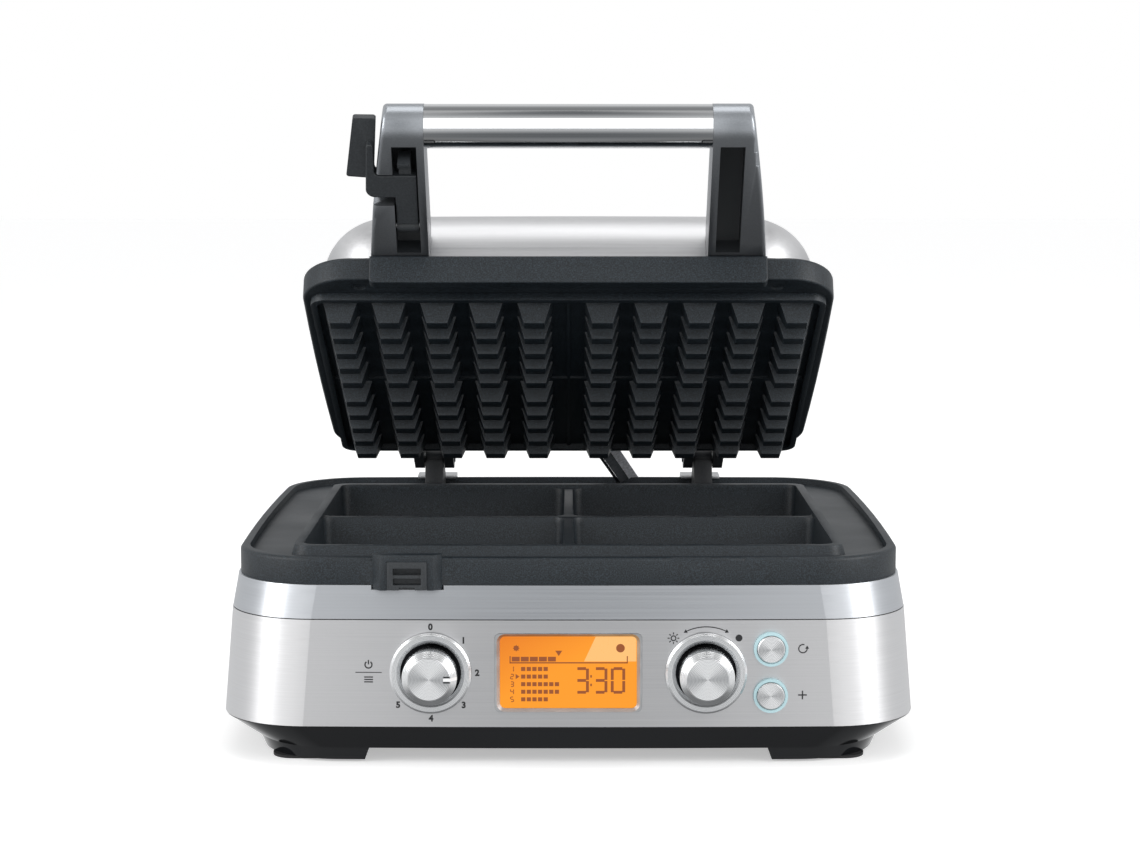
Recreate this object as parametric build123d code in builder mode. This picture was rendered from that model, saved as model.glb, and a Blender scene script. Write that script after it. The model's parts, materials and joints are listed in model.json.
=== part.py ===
from build123d import *
import math
import os

# Four-waffle waffle maker, in millimetres. +Z is up, the front faces -Y, and the origin lies on the
# plane that the feet stand on, under the middle of the base. The lid is drawn closed and is then
# turned up about the hinge by LID_ANGLE, which is the position that the model rests in.

# ---- base: heights and plan half sizes ----
PAD_T = 1.5
PAN_Z = 8.7
WRAP_Z = 22.7
BAND_Z = 82.0
RIM_Z = 101.0
RIM_TOP = 116.0
MOAT_Z = 112.0
RIDGE_TOP = 120.5
PAN_HALF = (177.0, 157.0)
WRAP_HALF_LOW = (196.0, 165.2)
WRAP_HALF_TOP = (191.0, 165.2)
BAND_HALF_TOP = (187.6, 162.6)
RIM_HALF = (186.5, 162.2)
BASE_CORNER = 50.0
SIDE_BOW = 3.5
SHEET = 1.2
PAN_WALL = 3.0
PAN_CORNER = 46.0
FOOT_INNER = (110.0, 102.0)
FOOT_LEAN = 2.6
FOOT_DRAFT = 20.0
PAD_AT = (140.5, 131.0)
PAD_SIZE = (50.0, 28.0)
PAD_CORNER = 12.0
POST_AT = (165.0, 70.0)
POST_R = 5.0
RIM_LEDGE = 9.5
SCREW_R = 1.85
SCREW_HEAD_R = 3.8
CATCH_HALF = 10.9
CATCH_ZS = (99.0, 114.5)

# ---- inside the base ----
BOARD_Z = 32.0
BOARD_T = 1.6
CARRIER_Y = (-160.2, -157.2)
CONTROL_BOARD_Y = (-149.4, -147.8)
GLAND_AT = (-120.0, 36.0)
GLAND_R = 7.0
CORD_R = 4.0
WIRE_R = 2.6

# ---- cooking plates ----
CAVITY_HALF_X = 146.5
CAVITY_Y = (-143.0, 91.0)
RIDGE_W = 5.0
DIVIDER_Y = -28.0
DIVIDER_T = 5.0
DIVIDER_TOP = 118.0
CAVITY_FLOOR = 91.0
CELL_TAPER = 3.0
CELL_CORNER = 7.0
PLATE_UNDER = 87.0
SHIELD_Z = 76.5
TOOTH = (19.7, 15.7, 12.0)
TOOTH_TAPER = 18.86
HEATER_R = 3.2
HEATER_BEND = 13.0
BOSS_R = 5.0
PITCH_X = 27.25
PITCH_Y = 20.9
HALF_GAP_X = 5.575
HALF_GAP_Y = 3.6
TEETH_PER_SIDE = 5

# ---- lid, drawn closed ----
HINGE_Y = 124.8
HINGE_Z = 133.8
LID_ANGLE = 29.4
LIP_Z = 120.8
LIP_HALF = (144.5, 111.5)
LIP_Y = -30.0
LIP_T = 3.5
LID_PLATE_Z = 124.4
LID_PLATE_T = 4.0
LID_RIM_Z = (125.2, 139.0)
LID_RIM_HALF = (150.0, 124.0)
LID_RIM_Y = -36.0
COVER_HALF = (141.0, 114.0)
COVER_TOP = 181.5
COVER_CORNER = 42.0
COVER_ROUND = 32.0

# ---- handle, drawn on the closed lid ----
BRACKET_FRONT_Y = -166.5
BRACKET_Z = (119.7, 136.0)
BRACKET_HALF_X = 109.6
ARM_ROOT = (-166.0, 136.2)
TUBE_AT = (-231.0, 180.6)
TUBE_R = 11.75
TUBE_WALL = 1.5
ROD_R = 3.0
ARM_END_R = 12.0
ARM_BACK = (-150.9, 160.0)
ARM_IN_X = 76.8
ARM_OUTER = ((109.8, -14.0), (105.3, 38.0), (97.9, 91.0))
ARM_TOP_CORNER = 6.0
RECESS_X = (80.9, 94.2)
RECESS_S = (1.5, 72.6)
RECESS_DEEP = 12.0
NOTCH_S = (34.0, 54.5)

# ---- latch ----
CATCH_X = -87.7
PIVOT_S = 17.5
PIVOT_DEEP = 5.2
PIN_R = 2.0
HUB_R = 3.9
LEVER_X = (-93.5, -81.6)
LEVER_S = (20.5, 52.8)
LEVER_DEEP = (1.2, 8.2)
BAR_LOW_S = 38.5
LINK_X = (-109.6, -104.2)
LINK_TOP_S = 73.0
PADDLE = ((-119.7, 49.9), (-104.9, 48.6), (-101.9, 87.3), (-114.1, 87.5))
PADDLE_DEEP = (5.4, 9.2)
HOOK_X = (-91.0, -84.4)
HOOK_END = PIVOT_S + 47.0
HOOK_T = 2.2
HOOK_DEEP = (3.2, 8.2)
HOOK_REACH = -4.8

# ---- controls on the front ----
DIAL_X = 75.2
CONTROL_Z = 53.0
BEZEL_R = 22.3
DIAL_OPEN_R = 16.35
KNOB_R = 14.9
KNOB_FRONT = -182.5
CAP_R = 11.75
SHAFT_R = 3.0
RUN_FIT = 0.05
BUTTON_X = 110.6
BUTTON_Z = (66.1, 40.3)
BUTTON_R = 7.55
BUTTON_RING_R = (7.85, 9.4)
DISPLAY_HALF = (40.2, 21.7)
WINDOW_HALF = (37.5, 20.0)
SEAT_Y = -160.5

# ---- hinge ----
POST_X = 88.2
POST_T = 11.8
LUG_T = 6.2
LUG_GAP = 0.7
LUG_R = 7.0
HINGE_PIN_R = 3.0

HINGE = Axis((0, HINGE_Y, HINGE_Z), (-1, 0, 0))

os.makedirs("parts", exist_ok=True)


def save(piece, name):
    """Label a finished piece of the base or of the controls and write it."""
    piece.part.label = name
    export_step(piece.part, f"parts/{name}.step")


def save_lid(piece, name):
    """Turn a piece that was drawn on the closed lid up to the resting angle and write it."""
    turned = piece.part.rotate(HINGE, LID_ANGLE)
    turned.label = name
    export_step(turned, f"parts/{name}.step")


def outline(half, corner, bow=SIDE_BOW):
    """Rectangle with gently bowed sides and round corners, drawn in the current sketch."""
    wide, deep = half
    x, y = wide - bow, deep - bow
    with BuildLine() as edge_line:
        ThreePointArc((-x, -y), (0, -deep), (x, -y))
        ThreePointArc((x, -y), (wide, 0), (x, y))
        ThreePointArc((x, y), (0, deep), (-x, y))
        ThreePointArc((-x, y), (-wide, 0), (-x, -y))
    make_face(edge_line.edges())
    fillet(vertices(), corner)


def inset(half, amount):
    return (half[0] - amount, half[1] - amount)


def level(z, y=0.0):
    return Plane(origin=(0, y, z))


def front_plane(x, y, z):
    """Plane that faces the front, with its local x along +X and its local y up."""
    return Plane(origin=(x, y, z), x_dir=(1, 0, 0), z_dir=(0, -1, 0))


def side_plane(x):
    """Plane across the width: its local x is +Y, its local y is +Z and it faces +X."""
    return Plane.YZ.offset(x)


def slab(x_range, y_range, z_range, mode=Mode.ADD):
    """Block between two corners, added to the current piece."""
    size = [hi - lo for lo, hi in (x_range, y_range, z_range)]
    middle = tuple((hi + lo) / 2 for lo, hi in (x_range, y_range, z_range))
    with Locations(middle):
        Box(*size, mode=mode)


def front_disc(x, z, radius, y_front, y_back, mode=Mode.ADD):
    """Round piece about the Y axis between two depths, added to the current piece."""
    with BuildSketch(front_plane(x, y_back, z)) as disc:
        Circle(radius)
    extrude(disc.sketch, amount=y_back - y_front, mode=mode)


def upright(x, y, radius, z_low, z_high, mode=Mode.ADD):
    with BuildSketch(Plane(origin=(x, y, z_low))) as disc:
        Circle(radius)
    extrude(disc.sketch, amount=z_high - z_low, mode=mode)


def cross_pin(x_range, y, z, radius, mode=Mode.ADD):
    """Round bar along X between two places."""
    with BuildSketch(side_plane(x_range[0])) as disc:
        with Locations((y, z)):
            Circle(radius)
    extrude(disc.sketch, amount=x_range[1] - x_range[0], mode=mode)


def lofted(half_low, z_low, half_top, z_top, corner, mode=Mode.ADD):
    with BuildSketch(level(z_low)) as low:
        outline(half_low, corner)
    with BuildSketch(level(z_top)) as top:
        outline(half_top, corner)
    loft([low.sketch, top.sketch], mode=mode)


def tooth_centres(divider_y):
    """Middles of all the teeth: five columns and five rows in each of the four quarters."""
    first_x = HALF_GAP_X + PITCH_X / 2
    first_y = HALF_GAP_Y + PITCH_Y / 2
    steps = range(TEETH_PER_SIDE)
    xs = [s * (first_x + PITCH_X * n) for s in (-1, 1) for n in steps]
    ys = [divider_y + s * (first_y + PITCH_Y * n) for s in (-1, 1) for n in steps]
    return [(x, y) for x in xs for y in ys]


# ---------------------------------------------------------------- base housing
POST_SPOTS = [(x * POST_AT[0], y * POST_AT[1]) for x in (-1, 1) for y in (-1, 1)]
PAD_SPOTS = [(x * PAD_AT[0], y * PAD_AT[1]) for x in (-1, 1) for y in (-1, 1)]
BOARD_POSTS = [(x, y) for x in (-96, 36) for y in (-36, 66)]

with BuildPart() as base_pan:
    lofted(inset(PAN_HALF, FOOT_LEAN), PAD_T, PAN_HALF, PAN_Z, PAN_CORNER)
    with BuildSketch(level(PAD_T)):
        Rectangle(2 * (FOOT_INNER[0] + FOOT_LEAN), 400)
        Rectangle(400, 2 * (FOOT_INNER[1] + FOOT_LEAN))
    extrude(amount=PAN_Z - PAD_T, taper=FOOT_DRAFT, mode=Mode.SUBTRACT)
    lofted(PAN_HALF, PAN_Z, inset(WRAP_HALF_LOW, 0.6), WRAP_Z, PAN_CORNER)
    lofted(inset(PAN_HALF, PAN_WALL), PAN_Z + PAN_WALL, inset(WRAP_HALF_LOW, PAN_WALL + 0.6), WRAP_Z,
           PAN_CORNER - 2, mode=Mode.SUBTRACT)
    slab((-200, 200), (-170, 170), (WRAP_Z - 0.2, WRAP_Z + 5), mode=Mode.SUBTRACT)
    for post_x, post_y in POST_SPOTS:
        upright(post_x, post_y, 2.2, PAN_Z - 1, PAN_Z + 5, mode=Mode.SUBTRACT)
    for post_x, post_y in BOARD_POSTS:
        upright(post_x, post_y, 4, PAN_Z + 2, BOARD_Z)
save(base_pan, "base_pan")

with BuildPart() as foot_pads:
    for pad_x, pad_y in PAD_SPOTS:
        with BuildSketch(Plane(origin=(pad_x, pad_y, 0))):
            RectangleRounded(*PAD_SIZE, PAD_CORNER)
        extrude(amount=PAD_T)
save(foot_pads, "foot_pads")

with BuildPart() as base_wrap:
    lofted(WRAP_HALF_LOW, WRAP_Z, WRAP_HALF_TOP, BAND_Z, BASE_CORNER)
    lofted(inset(WRAP_HALF_LOW, SHEET), WRAP_Z, inset(WRAP_HALF_TOP, SHEET), BAND_Z,
           BASE_CORNER - SHEET, mode=Mode.SUBTRACT)
    for side in (-1, 1):
        front_disc(side * DIAL_X, CONTROL_Z, BEZEL_R + 0.1, -170, -150, mode=Mode.SUBTRACT)
    for button_z in BUTTON_Z:
        front_disc(BUTTON_X, button_z, BUTTON_RING_R[1] + 0.1, -170, -150, mode=Mode.SUBTRACT)
    with BuildSketch(front_plane(0, -150, CONTROL_Z)):
        RectangleRounded(2 * DISPLAY_HALF[0] + 0.2, 2 * DISPLAY_HALF[1] + 0.2, 2.6)
    extrude(amount=20, mode=Mode.SUBTRACT)
    front_disc(*GLAND_AT, GLAND_R + 0.1, 150, 170, mode=Mode.SUBTRACT)
save(base_wrap, "base_wrap")

with BuildPart() as shoulder_band:
    lofted(inset(WRAP_HALF_TOP, 0.2), BAND_Z + 0.5, BAND_HALF_TOP, RIM_Z - 0.2, BASE_CORNER)
    lofted(inset(WRAP_HALF_TOP, 2.2), BAND_Z + 0.5, inset(BAND_HALF_TOP, 2), RIM_Z - 0.2,
           BASE_CORNER - 2, mode=Mode.SUBTRACT)
    slab((CATCH_X - 19.8, CATCH_X + 19.8), (-170, -155), (RIM_Z - 2.6, RIM_Z + 1),
         mode=Mode.SUBTRACT)
save(shoulder_band, "shoulder_band")

with BuildPart() as moat_rim:
    with BuildSketch(level(RIM_Z)):
        outline(RIM_HALF, BASE_CORNER)
    extrude(amount=RIM_TOP - RIM_Z)
    fillet(moat_rim.faces().sort_by(Axis.Z)[-1].edges(), 2.2)
    with BuildSketch(level(98.8)):
        with BuildLine():
            Polyline((CATCH_X - 19, -160), (CATCH_X - 19, -162), (CATCH_X - 14.5, -166.6),
                     (CATCH_X + 14.5, -166.6), (CATCH_X + 19, -162), (CATCH_X + 19, -160), close=True)
        make_face()
    extrude(amount=19.4)
    with BuildSketch(level(RIM_Z - 1)):
        outline(inset(RIM_HALF, 5.2), BASE_CORNER - 5.2)
    extrude(amount=30, mode=Mode.SUBTRACT)
    with BuildSketch(level(104)):
        outline(inset(RIM_HALF, 4), BASE_CORNER - 4)
    extrude(amount=3.6)
    with BuildSketch(level(103)):
        outline(inset(RIM_HALF, RIM_LEDGE), BASE_CORNER - RIM_LEDGE)
    extrude(amount=6, mode=Mode.SUBTRACT)
    slab((CATCH_X - CATCH_HALF, CATCH_X + CATCH_HALF), (-170, -161), (98, CATCH_ZS[1]),
         mode=Mode.SUBTRACT)
    for post_x, post_y in POST_SPOTS:
        upright(post_x, post_y, POST_R, PAN_Z + 3.2, 106)
        rib_x = sorted((post_x, math.copysign(RIM_HALF[0] - 6, post_x)))
        slab(rib_x, (post_y - 3, post_y + 3), (98, 106))
    for post_x, post_y in POST_SPOTS:
        upright(post_x, post_y, SCREW_R + 0.05, PAN_Z + 3, PAN_Z + 16, mode=Mode.SUBTRACT)
save(moat_rim, "moat_rim")

with BuildPart() as latch_catch:
    inner = CATCH_HALF - 0.05
    slab((CATCH_X - inner, CATCH_X + inner), (-167.4, -161.1), (CATCH_ZS[0], CATCH_ZS[1] - 0.05))
    slab((CATCH_X - 7.6, CATCH_X + 7.6), (-170, -162.2), (101.8, 110.9), mode=Mode.SUBTRACT)
    slab((CATCH_X - 7.8, CATCH_X + 7.8), (-166.6, -164.8), (105.4, 107.2))
    slab((CATCH_X - 4.3, CATCH_X + 4.3), (-170, -164), (98, 100.4), mode=Mode.SUBTRACT)
save(latch_catch, "latch_catch")

with BuildPart() as base_screws:
    for post_x, post_y in POST_SPOTS:
        upright(post_x, post_y, SCREW_HEAD_R, PAN_Z - 2.1, PAN_Z)
        upright(post_x, post_y, SCREW_R, PAN_Z, PAN_Z + 14)
save(base_screws, "base_screws")

# ---------------------------------------------------------------- lower plate and its heater
RIDGE_MID = (CAVITY_Y[0] + CAVITY_Y[1]) / 2
RIDGE_HALF = (CAVITY_HALF_X + RIDGE_W, (CAVITY_Y[1] - CAVITY_Y[0]) / 2 + RIDGE_W)
RIDGE_FOOT = 3.0
RIDGE_DRAFT = math.degrees(math.atan(RIDGE_FOOT / (RIDGE_TOP - MOAT_Z + 2)))
PLATE_BOSSES = [(x, y) for x in (-110, 0, 110) for y in (-120, 64)]

with BuildPart() as lower_plate:
    with BuildSketch(level(MOAT_Z - 4)):
        outline(inset(RIM_HALF, 5.3), BASE_CORNER - 5.3)
    extrude(amount=4)
    with BuildSketch(level(PLATE_UNDER, RIDGE_MID)):
        RectangleRounded(2 * RIDGE_HALF[0], 2 * RIDGE_HALF[1], 12)
    extrude(amount=MOAT_Z - PLATE_UNDER)
    with BuildSketch(level(MOAT_Z - 2, RIDGE_MID)):
        RectangleRounded(2 * (RIDGE_HALF[0] + RIDGE_FOOT), 2 * (RIDGE_HALF[1] + RIDGE_FOOT), 12)
    extrude(amount=RIDGE_TOP - MOAT_Z + 2, taper=RIDGE_DRAFT)
    with BuildSketch(level(DIVIDER_TOP, RIDGE_MID)):
        RectangleRounded(2 * CAVITY_HALF_X, 2 * (RIDGE_HALF[1] - RIDGE_W), CELL_CORNER)
    extrude(amount=10, mode=Mode.SUBTRACT)
    for side in (-1, 1):
        for y_low, y_high in ((CAVITY_Y[0], DIVIDER_Y - DIVIDER_T / 2),
                              (DIVIDER_Y + DIVIDER_T / 2, CAVITY_Y[1])):
            cell_x = side * (CAVITY_HALF_X + DIVIDER_T / 2) / 2
            cell = Plane(origin=(cell_x, (y_low + y_high) / 2, DIVIDER_TOP), z_dir=(0, 0, -1))
            with BuildSketch(cell):
                RectangleRounded(CAVITY_HALF_X - DIVIDER_T / 2, y_high - y_low, CELL_CORNER)
            extrude(amount=DIVIDER_TOP - CAVITY_FLOOR, taper=CELL_TAPER, mode=Mode.SUBTRACT)
    with BuildSketch(level(CAVITY_FLOOR)):
        with Locations(*tooth_centres(DIVIDER_Y)):
            Rectangle(TOOTH[0], TOOTH[1])
    extrude(amount=TOOTH[2], taper=TOOTH_TAPER)
    for boss_x, boss_y in PLATE_BOSSES:
        upright(boss_x, boss_y, BOSS_R, SHIELD_Z + 1.1, PLATE_UNDER)
        upright(boss_x, boss_y, 2, SHIELD_Z + 1, SHIELD_Z + 10, mode=Mode.SUBTRACT)
save(lower_plate, "lower_plate")


def heater_path(half_x, y_low, y_high, z, end_y):
    """Heater route: one loop round the plate that is open in the middle of the rear."""
    return [(-18, end_y, z), (-18, y_high, z), (-half_x, y_high, z), (-half_x, y_low, z),
            (half_x, y_low, z), (half_x, y_high, z), (18, y_high, z), (18, end_y, z)]


with BuildPart() as lower_heating_element:
    with BuildLine():
        heater_line = FilletPolyline(*heater_path(124, -106, 40, 83.6, 80), radius=HEATER_BEND)
    with BuildSketch(Plane(origin=heater_line @ 0, z_dir=heater_line % 0)):
        Circle(HEATER_R)
    sweep()
save(lower_heating_element, "lower_heating_element")

with BuildPart() as lower_heat_shield:
    slab((-157, 157), (-153.4, 101.4), (SHIELD_Z, RIM_Z - 0.4))
    slab((-156, 156), (-152.4, 100.4), (SHIELD_Z + 1, 105), mode=Mode.SUBTRACT)
    for boss_x, boss_y in PLATE_BOSSES:
        upright(boss_x, boss_y, 2.2, SHIELD_Z - 2, SHIELD_Z + 2, mode=Mode.SUBTRACT)
save(lower_heat_shield, "lower_heat_shield")

with BuildPart() as lower_plate_screws:
    for boss_x, boss_y in PLATE_BOSSES:
        upright(boss_x, boss_y, 4, SHIELD_Z - 2.8, SHIELD_Z - 0.05)
        upright(boss_x, boss_y, 1.95, SHIELD_Z - 0.1, SHIELD_Z + 9)
save(lower_plate_screws, "lower_plate_screws")

with BuildPart() as lower_temperature_probe:
    upright(52, -30, 3.5, 79.5, 86.9)
    upright(52, -30, 6, SHIELD_Z + 1.1, 79.5)
save(lower_temperature_probe, "lower_temperature_probe")

with BuildPart() as lower_thermal_fuse:
    cross_pin((-62, -40), -30, 84.2, 2.4)
save(lower_thermal_fuse, "lower_thermal_fuse")

# ---------------------------------------------------------------- electronics in the base
BOARD_TOP = BOARD_Z + BOARD_T

with BuildPart() as power_board:
    slab((-104, 44), (-44, 74), (BOARD_Z, BOARD_TOP))
save(power_board, "power_board")

with BuildPart() as power_board_parts:
    slab((-92, -64), (-24, -8), (BOARD_TOP, 50))
    slab((-50, -18), (0, 38), (BOARD_TOP, 60))
    slab((0, 28), (-20, 10), (BOARD_TOP, 48))
    for capacitor_y in (30, 48):
        upright(8, capacitor_y, 7, BOARD_TOP, 58)
save(power_board_parts, "power_board_parts")

with BuildPart() as control_carrier:
    slab((-110, 128), CARRIER_Y, (28, 78))
    for side in (-1, 1):
        front_disc(side * DIAL_X, CONTROL_Z, 4.8, -165, -150, mode=Mode.SUBTRACT)
    for button_z in BUTTON_Z:
        front_disc(BUTTON_X, button_z, 3.0, -165, -150, mode=Mode.SUBTRACT)
    slab((-39, 39), (-165, -150), (31.5, 74.5), mode=Mode.SUBTRACT)
save(control_carrier, "control_carrier")

with BuildPart() as control_board:
    slab((-100, 124), CONTROL_BOARD_Y, (31, 75))
save(control_board, "control_board")

with BuildPart() as display_module:
    slab((-38, 38), (-160, -149.5), (32.5, 73.5))
save(display_module, "display_module")

with BuildPart() as display_bezel:
    with BuildSketch(front_plane(0, SEAT_Y, CONTROL_Z)):
        RectangleRounded(2 * DISPLAY_HALF[0], 2 * DISPLAY_HALF[1], 2.5)
    extrude(amount=5.6)
    with BuildSketch(front_plane(0, -159, CONTROL_Z)):
        RectangleRounded(2 * WINDOW_HALF[0], 2 * WINDOW_HALF[1], 3)
    extrude(amount=10, mode=Mode.SUBTRACT)
    front_inner = display_bezel.faces().sort_by(Axis.Y)[0].inner_wires()[0].edges()
    chamfer(front_inner, length=1.6, length2=1.9)
save(display_bezel, "display_bezel")

with BuildPart() as display_window:
    with BuildSketch(front_plane(0, -161, CONTROL_Z)):
        RectangleRounded(2 * WINDOW_HALF[0] - 0.1, 2 * WINDOW_HALF[1] - 0.1, 2.9)
    extrude(amount=2.6)
save(display_window, "display_window")

for side, hand in ((-1, "left"), (1, "right")):
    with BuildPart() as dial_bezel:
        front_disc(side * DIAL_X, CONTROL_Z, BEZEL_R, -168.4, SEAT_Y)
        chamfer(dial_bezel.faces().sort_by(Axis.Y)[0].edges(), 1.2)
        front_disc(side * DIAL_X, CONTROL_Z, DIAL_OPEN_R, -170, SEAT_Y - 1.4, mode=Mode.SUBTRACT)
        chamfer(dial_bezel.faces().sort_by(Axis.Y)[0].inner_wires()[0].edges(), 2.2)
        front_disc(side * DIAL_X, CONTROL_Z, 4.8, -170, -155, mode=Mode.SUBTRACT)
    save(dial_bezel, f"dial_bezel_{hand}")

for side, use in ((-1, "selector"), (1, "browning")):
    with BuildPart() as encoder:
        slab((side * DIAL_X - 7, side * DIAL_X + 7), (-157, -149.5), (CONTROL_Z - 7, CONTROL_Z + 7))
        front_disc(side * DIAL_X, CONTROL_Z, 4.5, -162, -157)
        front_disc(side * DIAL_X, CONTROL_Z, SHAFT_R, -176, -162)
    save(encoder, f"{use}_encoder")

    with BuildPart() as knob:
        front_disc(side * DIAL_X, CONTROL_Z, KNOB_R, KNOB_FRONT, -163)
        chamfer(knob.faces().sort_by(Axis.Y)[0].edges(), 3.0)
        front_disc(side * DIAL_X, CONTROL_Z, KNOB_R - 3, -170, -160, mode=Mode.SUBTRACT)
        front_disc(side * DIAL_X, CONTROL_Z, SHAFT_R + RUN_FIT, -176.5, -160, mode=Mode.SUBTRACT)
    save(knob, f"{use}_knob")

    with BuildPart() as knob_cap:
        front_disc(side * DIAL_X, CONTROL_Z, CAP_R, KNOB_FRONT - 1, KNOB_FRONT)
        chamfer(knob_cap.faces().sort_by(Axis.Y)[0].edges(), 0.5)
    save(knob_cap, f"{use}_knob_cap")

with BuildPart() as button_light_rings:
    for button_z in BUTTON_Z:
        front_disc(BUTTON_X, button_z, BUTTON_RING_R[1], -166.6, SEAT_Y)
        front_disc(BUTTON_X, button_z, BUTTON_RING_R[0], -170, -155, mode=Mode.SUBTRACT)
save(button_light_rings, "button_light_rings")

for button_z, use in zip(BUTTON_Z, ("restart", "more")):
    with BuildPart() as button:
        front_disc(BUTTON_X, button_z, BUTTON_R, -167.6, -162.2)
        chamfer(button.faces().sort_by(Axis.Y)[0].edges(), 0.6)
        front_disc(BUTTON_X, button_z, 2.6, -162.2, -153.4)
    save(button, f"{use}_button")

with BuildPart() as button_switches:
    for button_z in BUTTON_Z:
        slab((BUTTON_X - 3, BUTTON_X + 3), (-151.6, -149.5), (button_z - 3, button_z + 3))
save(button_switches, "button_switches")

with BuildPart() as buzzer:
    front_disc(-88, 66, 6, -147.7, -142)
save(buzzer, "buzzer")

with BuildPart() as cord_gland:
    front_disc(*GLAND_AT, GLAND_R, 161.5, -KNOB_FRONT + 1)
    front_disc(*GLAND_AT, GLAND_R + 2.5, 164.5, 167)
    front_disc(*GLAND_AT, GLAND_R + 2, 158.5, 161.8)
    front_disc(*GLAND_AT, CORD_R, 150, 190, mode=Mode.SUBTRACT)
save(cord_gland, "cord_gland")

with BuildPart() as mains_wiring:
    with BuildLine():
        wiring_line = FilletPolyline((GLAND_AT[0], 158, GLAND_AT[1]), (GLAND_AT[0], 110, GLAND_AT[1]),
                                     (-84, 84, 46), (-84, 40, 46), radius=9)
    with BuildSketch(Plane(origin=wiring_line @ 0, z_dir=wiring_line % 0)):
        Circle(WIRE_R)
    sweep()
save(mains_wiring, "mains_wiring")

# ---------------------------------------------------------------- hinge
FOOT_Y = (112.5, 150.0)

for side, hand in ((-1, "left"), (1, "right")):
    post_mid = side * POST_X
    with BuildPart() as hinge_post:
        with BuildSketch(side_plane(post_mid - POST_T / 2)):
            with BuildLine():
                Polyline((FOOT_Y[0], MOAT_Z + 0.05), (FOOT_Y[1], MOAT_Z + 0.05), (FOOT_Y[1], 117.6),
                         (HINGE_Y + 7.6, 133), (HINGE_Y - 7.6, 133), (FOOT_Y[0], 117), close=True)
            make_face()
            with Locations((HINGE_Y, HINGE_Z)):
                Circle(7.8)
        extrude(amount=POST_T)
        cross_pin((post_mid - 10, post_mid + 10), HINGE_Y, HINGE_Z, HINGE_PIN_R, mode=Mode.SUBTRACT)
    save(hinge_post, f"hinge_post_{hand}")

with BuildPart() as hinge_pins:
    reach = POST_T / 2 + LUG_GAP + LUG_T + 0.8
    for post_mid in (-POST_X, POST_X):
        cross_pin((post_mid - reach, post_mid + reach), HINGE_Y, HINGE_Z, HINGE_PIN_R)
save(hinge_pins, "hinge_pins")

with BuildPart() as hinge_anchor_plates:
    for side in (-1, 1):
        x_low, x_high = side * POST_X - 12.9, side * POST_X + 12.9
        slab((x_low, x_high), (150.4, 168), (RIM_TOP + 0.1, RIM_TOP + 2.2))
        slab((x_low, x_high), (165.8, 168), (58, RIM_TOP + 2.2))
save(hinge_anchor_plates, "hinge_anchor_plates")

with BuildPart() as hinge_screws:
    for side in (-1, 1):
        for screw_z in (66, 78):
            for screw_x in (-7, 7):
                front_disc(side * POST_X + screw_x, screw_z, 3.4, 168.05, 170.2)
save(hinge_screws, "hinge_screws")

# ---------------------------------------------------------------- lid housing, drawn closed
RIM_WALL = 3.0


def lid_level(z, y=LID_RIM_Y):
    return Plane(origin=(0, y, z))


with BuildPart() as lid_rim:
    with BuildSketch(lid_level(LID_RIM_Z[0])):
        outline(LID_RIM_HALF, 28, bow=1.5)
    extrude(amount=LID_RIM_Z[1] - LID_RIM_Z[0])
    fillet(lid_rim.faces().sort_by(Axis.Z)[-1].edges(), 2.2)
    fillet(lid_rim.faces().sort_by(Axis.Z)[0].edges(), 1.4)
    with BuildSketch(lid_level(LID_RIM_Z[0] + RIM_WALL)):
        outline(inset(LID_RIM_HALF, RIM_WALL), 25, bow=1.5)
    extrude(amount=LID_RIM_Z[1] - LID_RIM_Z[0] - 2 * RIM_WALL, mode=Mode.SUBTRACT)
    with BuildSketch(lid_level(LID_RIM_Z[1] - RIM_WALL - 1)):
        outline(inset(COVER_HALF, 3), COVER_CORNER - 3, bow=1.5)
    extrude(amount=10, mode=Mode.SUBTRACT)
    with BuildSketch(level(LID_RIM_Z[0] - 1, LIP_Y)):
        RectangleRounded(2 * LIP_HALF[0] + 0.2, 2 * LIP_HALF[1] + 0.2, 9)
    extrude(amount=RIM_WALL + 2, mode=Mode.SUBTRACT)
    for side in (-1, 1):
        upright(side * 116, -149.5, 3.9, LID_RIM_Z[0] - 1, LID_RIM_Z[0] + 1.6, mode=Mode.SUBTRACT)
save_lid(lid_rim, "lid_rim")


def dome(shrink, corner):
    """Cover form: bowed outline, a top that is crowned across the width, and a large edge round."""
    height = COVER_TOP - LID_RIM_Z[1] - shrink
    with BuildSketch(lid_level(LID_RIM_Z[1] + 0.1)) as plan:
        outline(inset(COVER_HALF, shrink), corner, bow=1.5)
    extrude(plan.sketch, amount=height)


with BuildPart() as cover_core:
    dome(SHEET, COVER_CORNER - SHEET)
    fillet(cover_core.faces().sort_by(Axis.Z)[-1].edges(), COVER_ROUND - SHEET)

with BuildPart() as lid_cover:
    dome(0, COVER_CORNER)
    fillet(lid_cover.faces().sort_by(Axis.Z)[-1].edges(), COVER_ROUND)
    add(cover_core.part, mode=Mode.SUBTRACT)
save_lid(lid_cover, "lid_cover")

LID_BOSSES = [(x, y) for x in (-110, 0, 110) for y in (-110, 44)]

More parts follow.
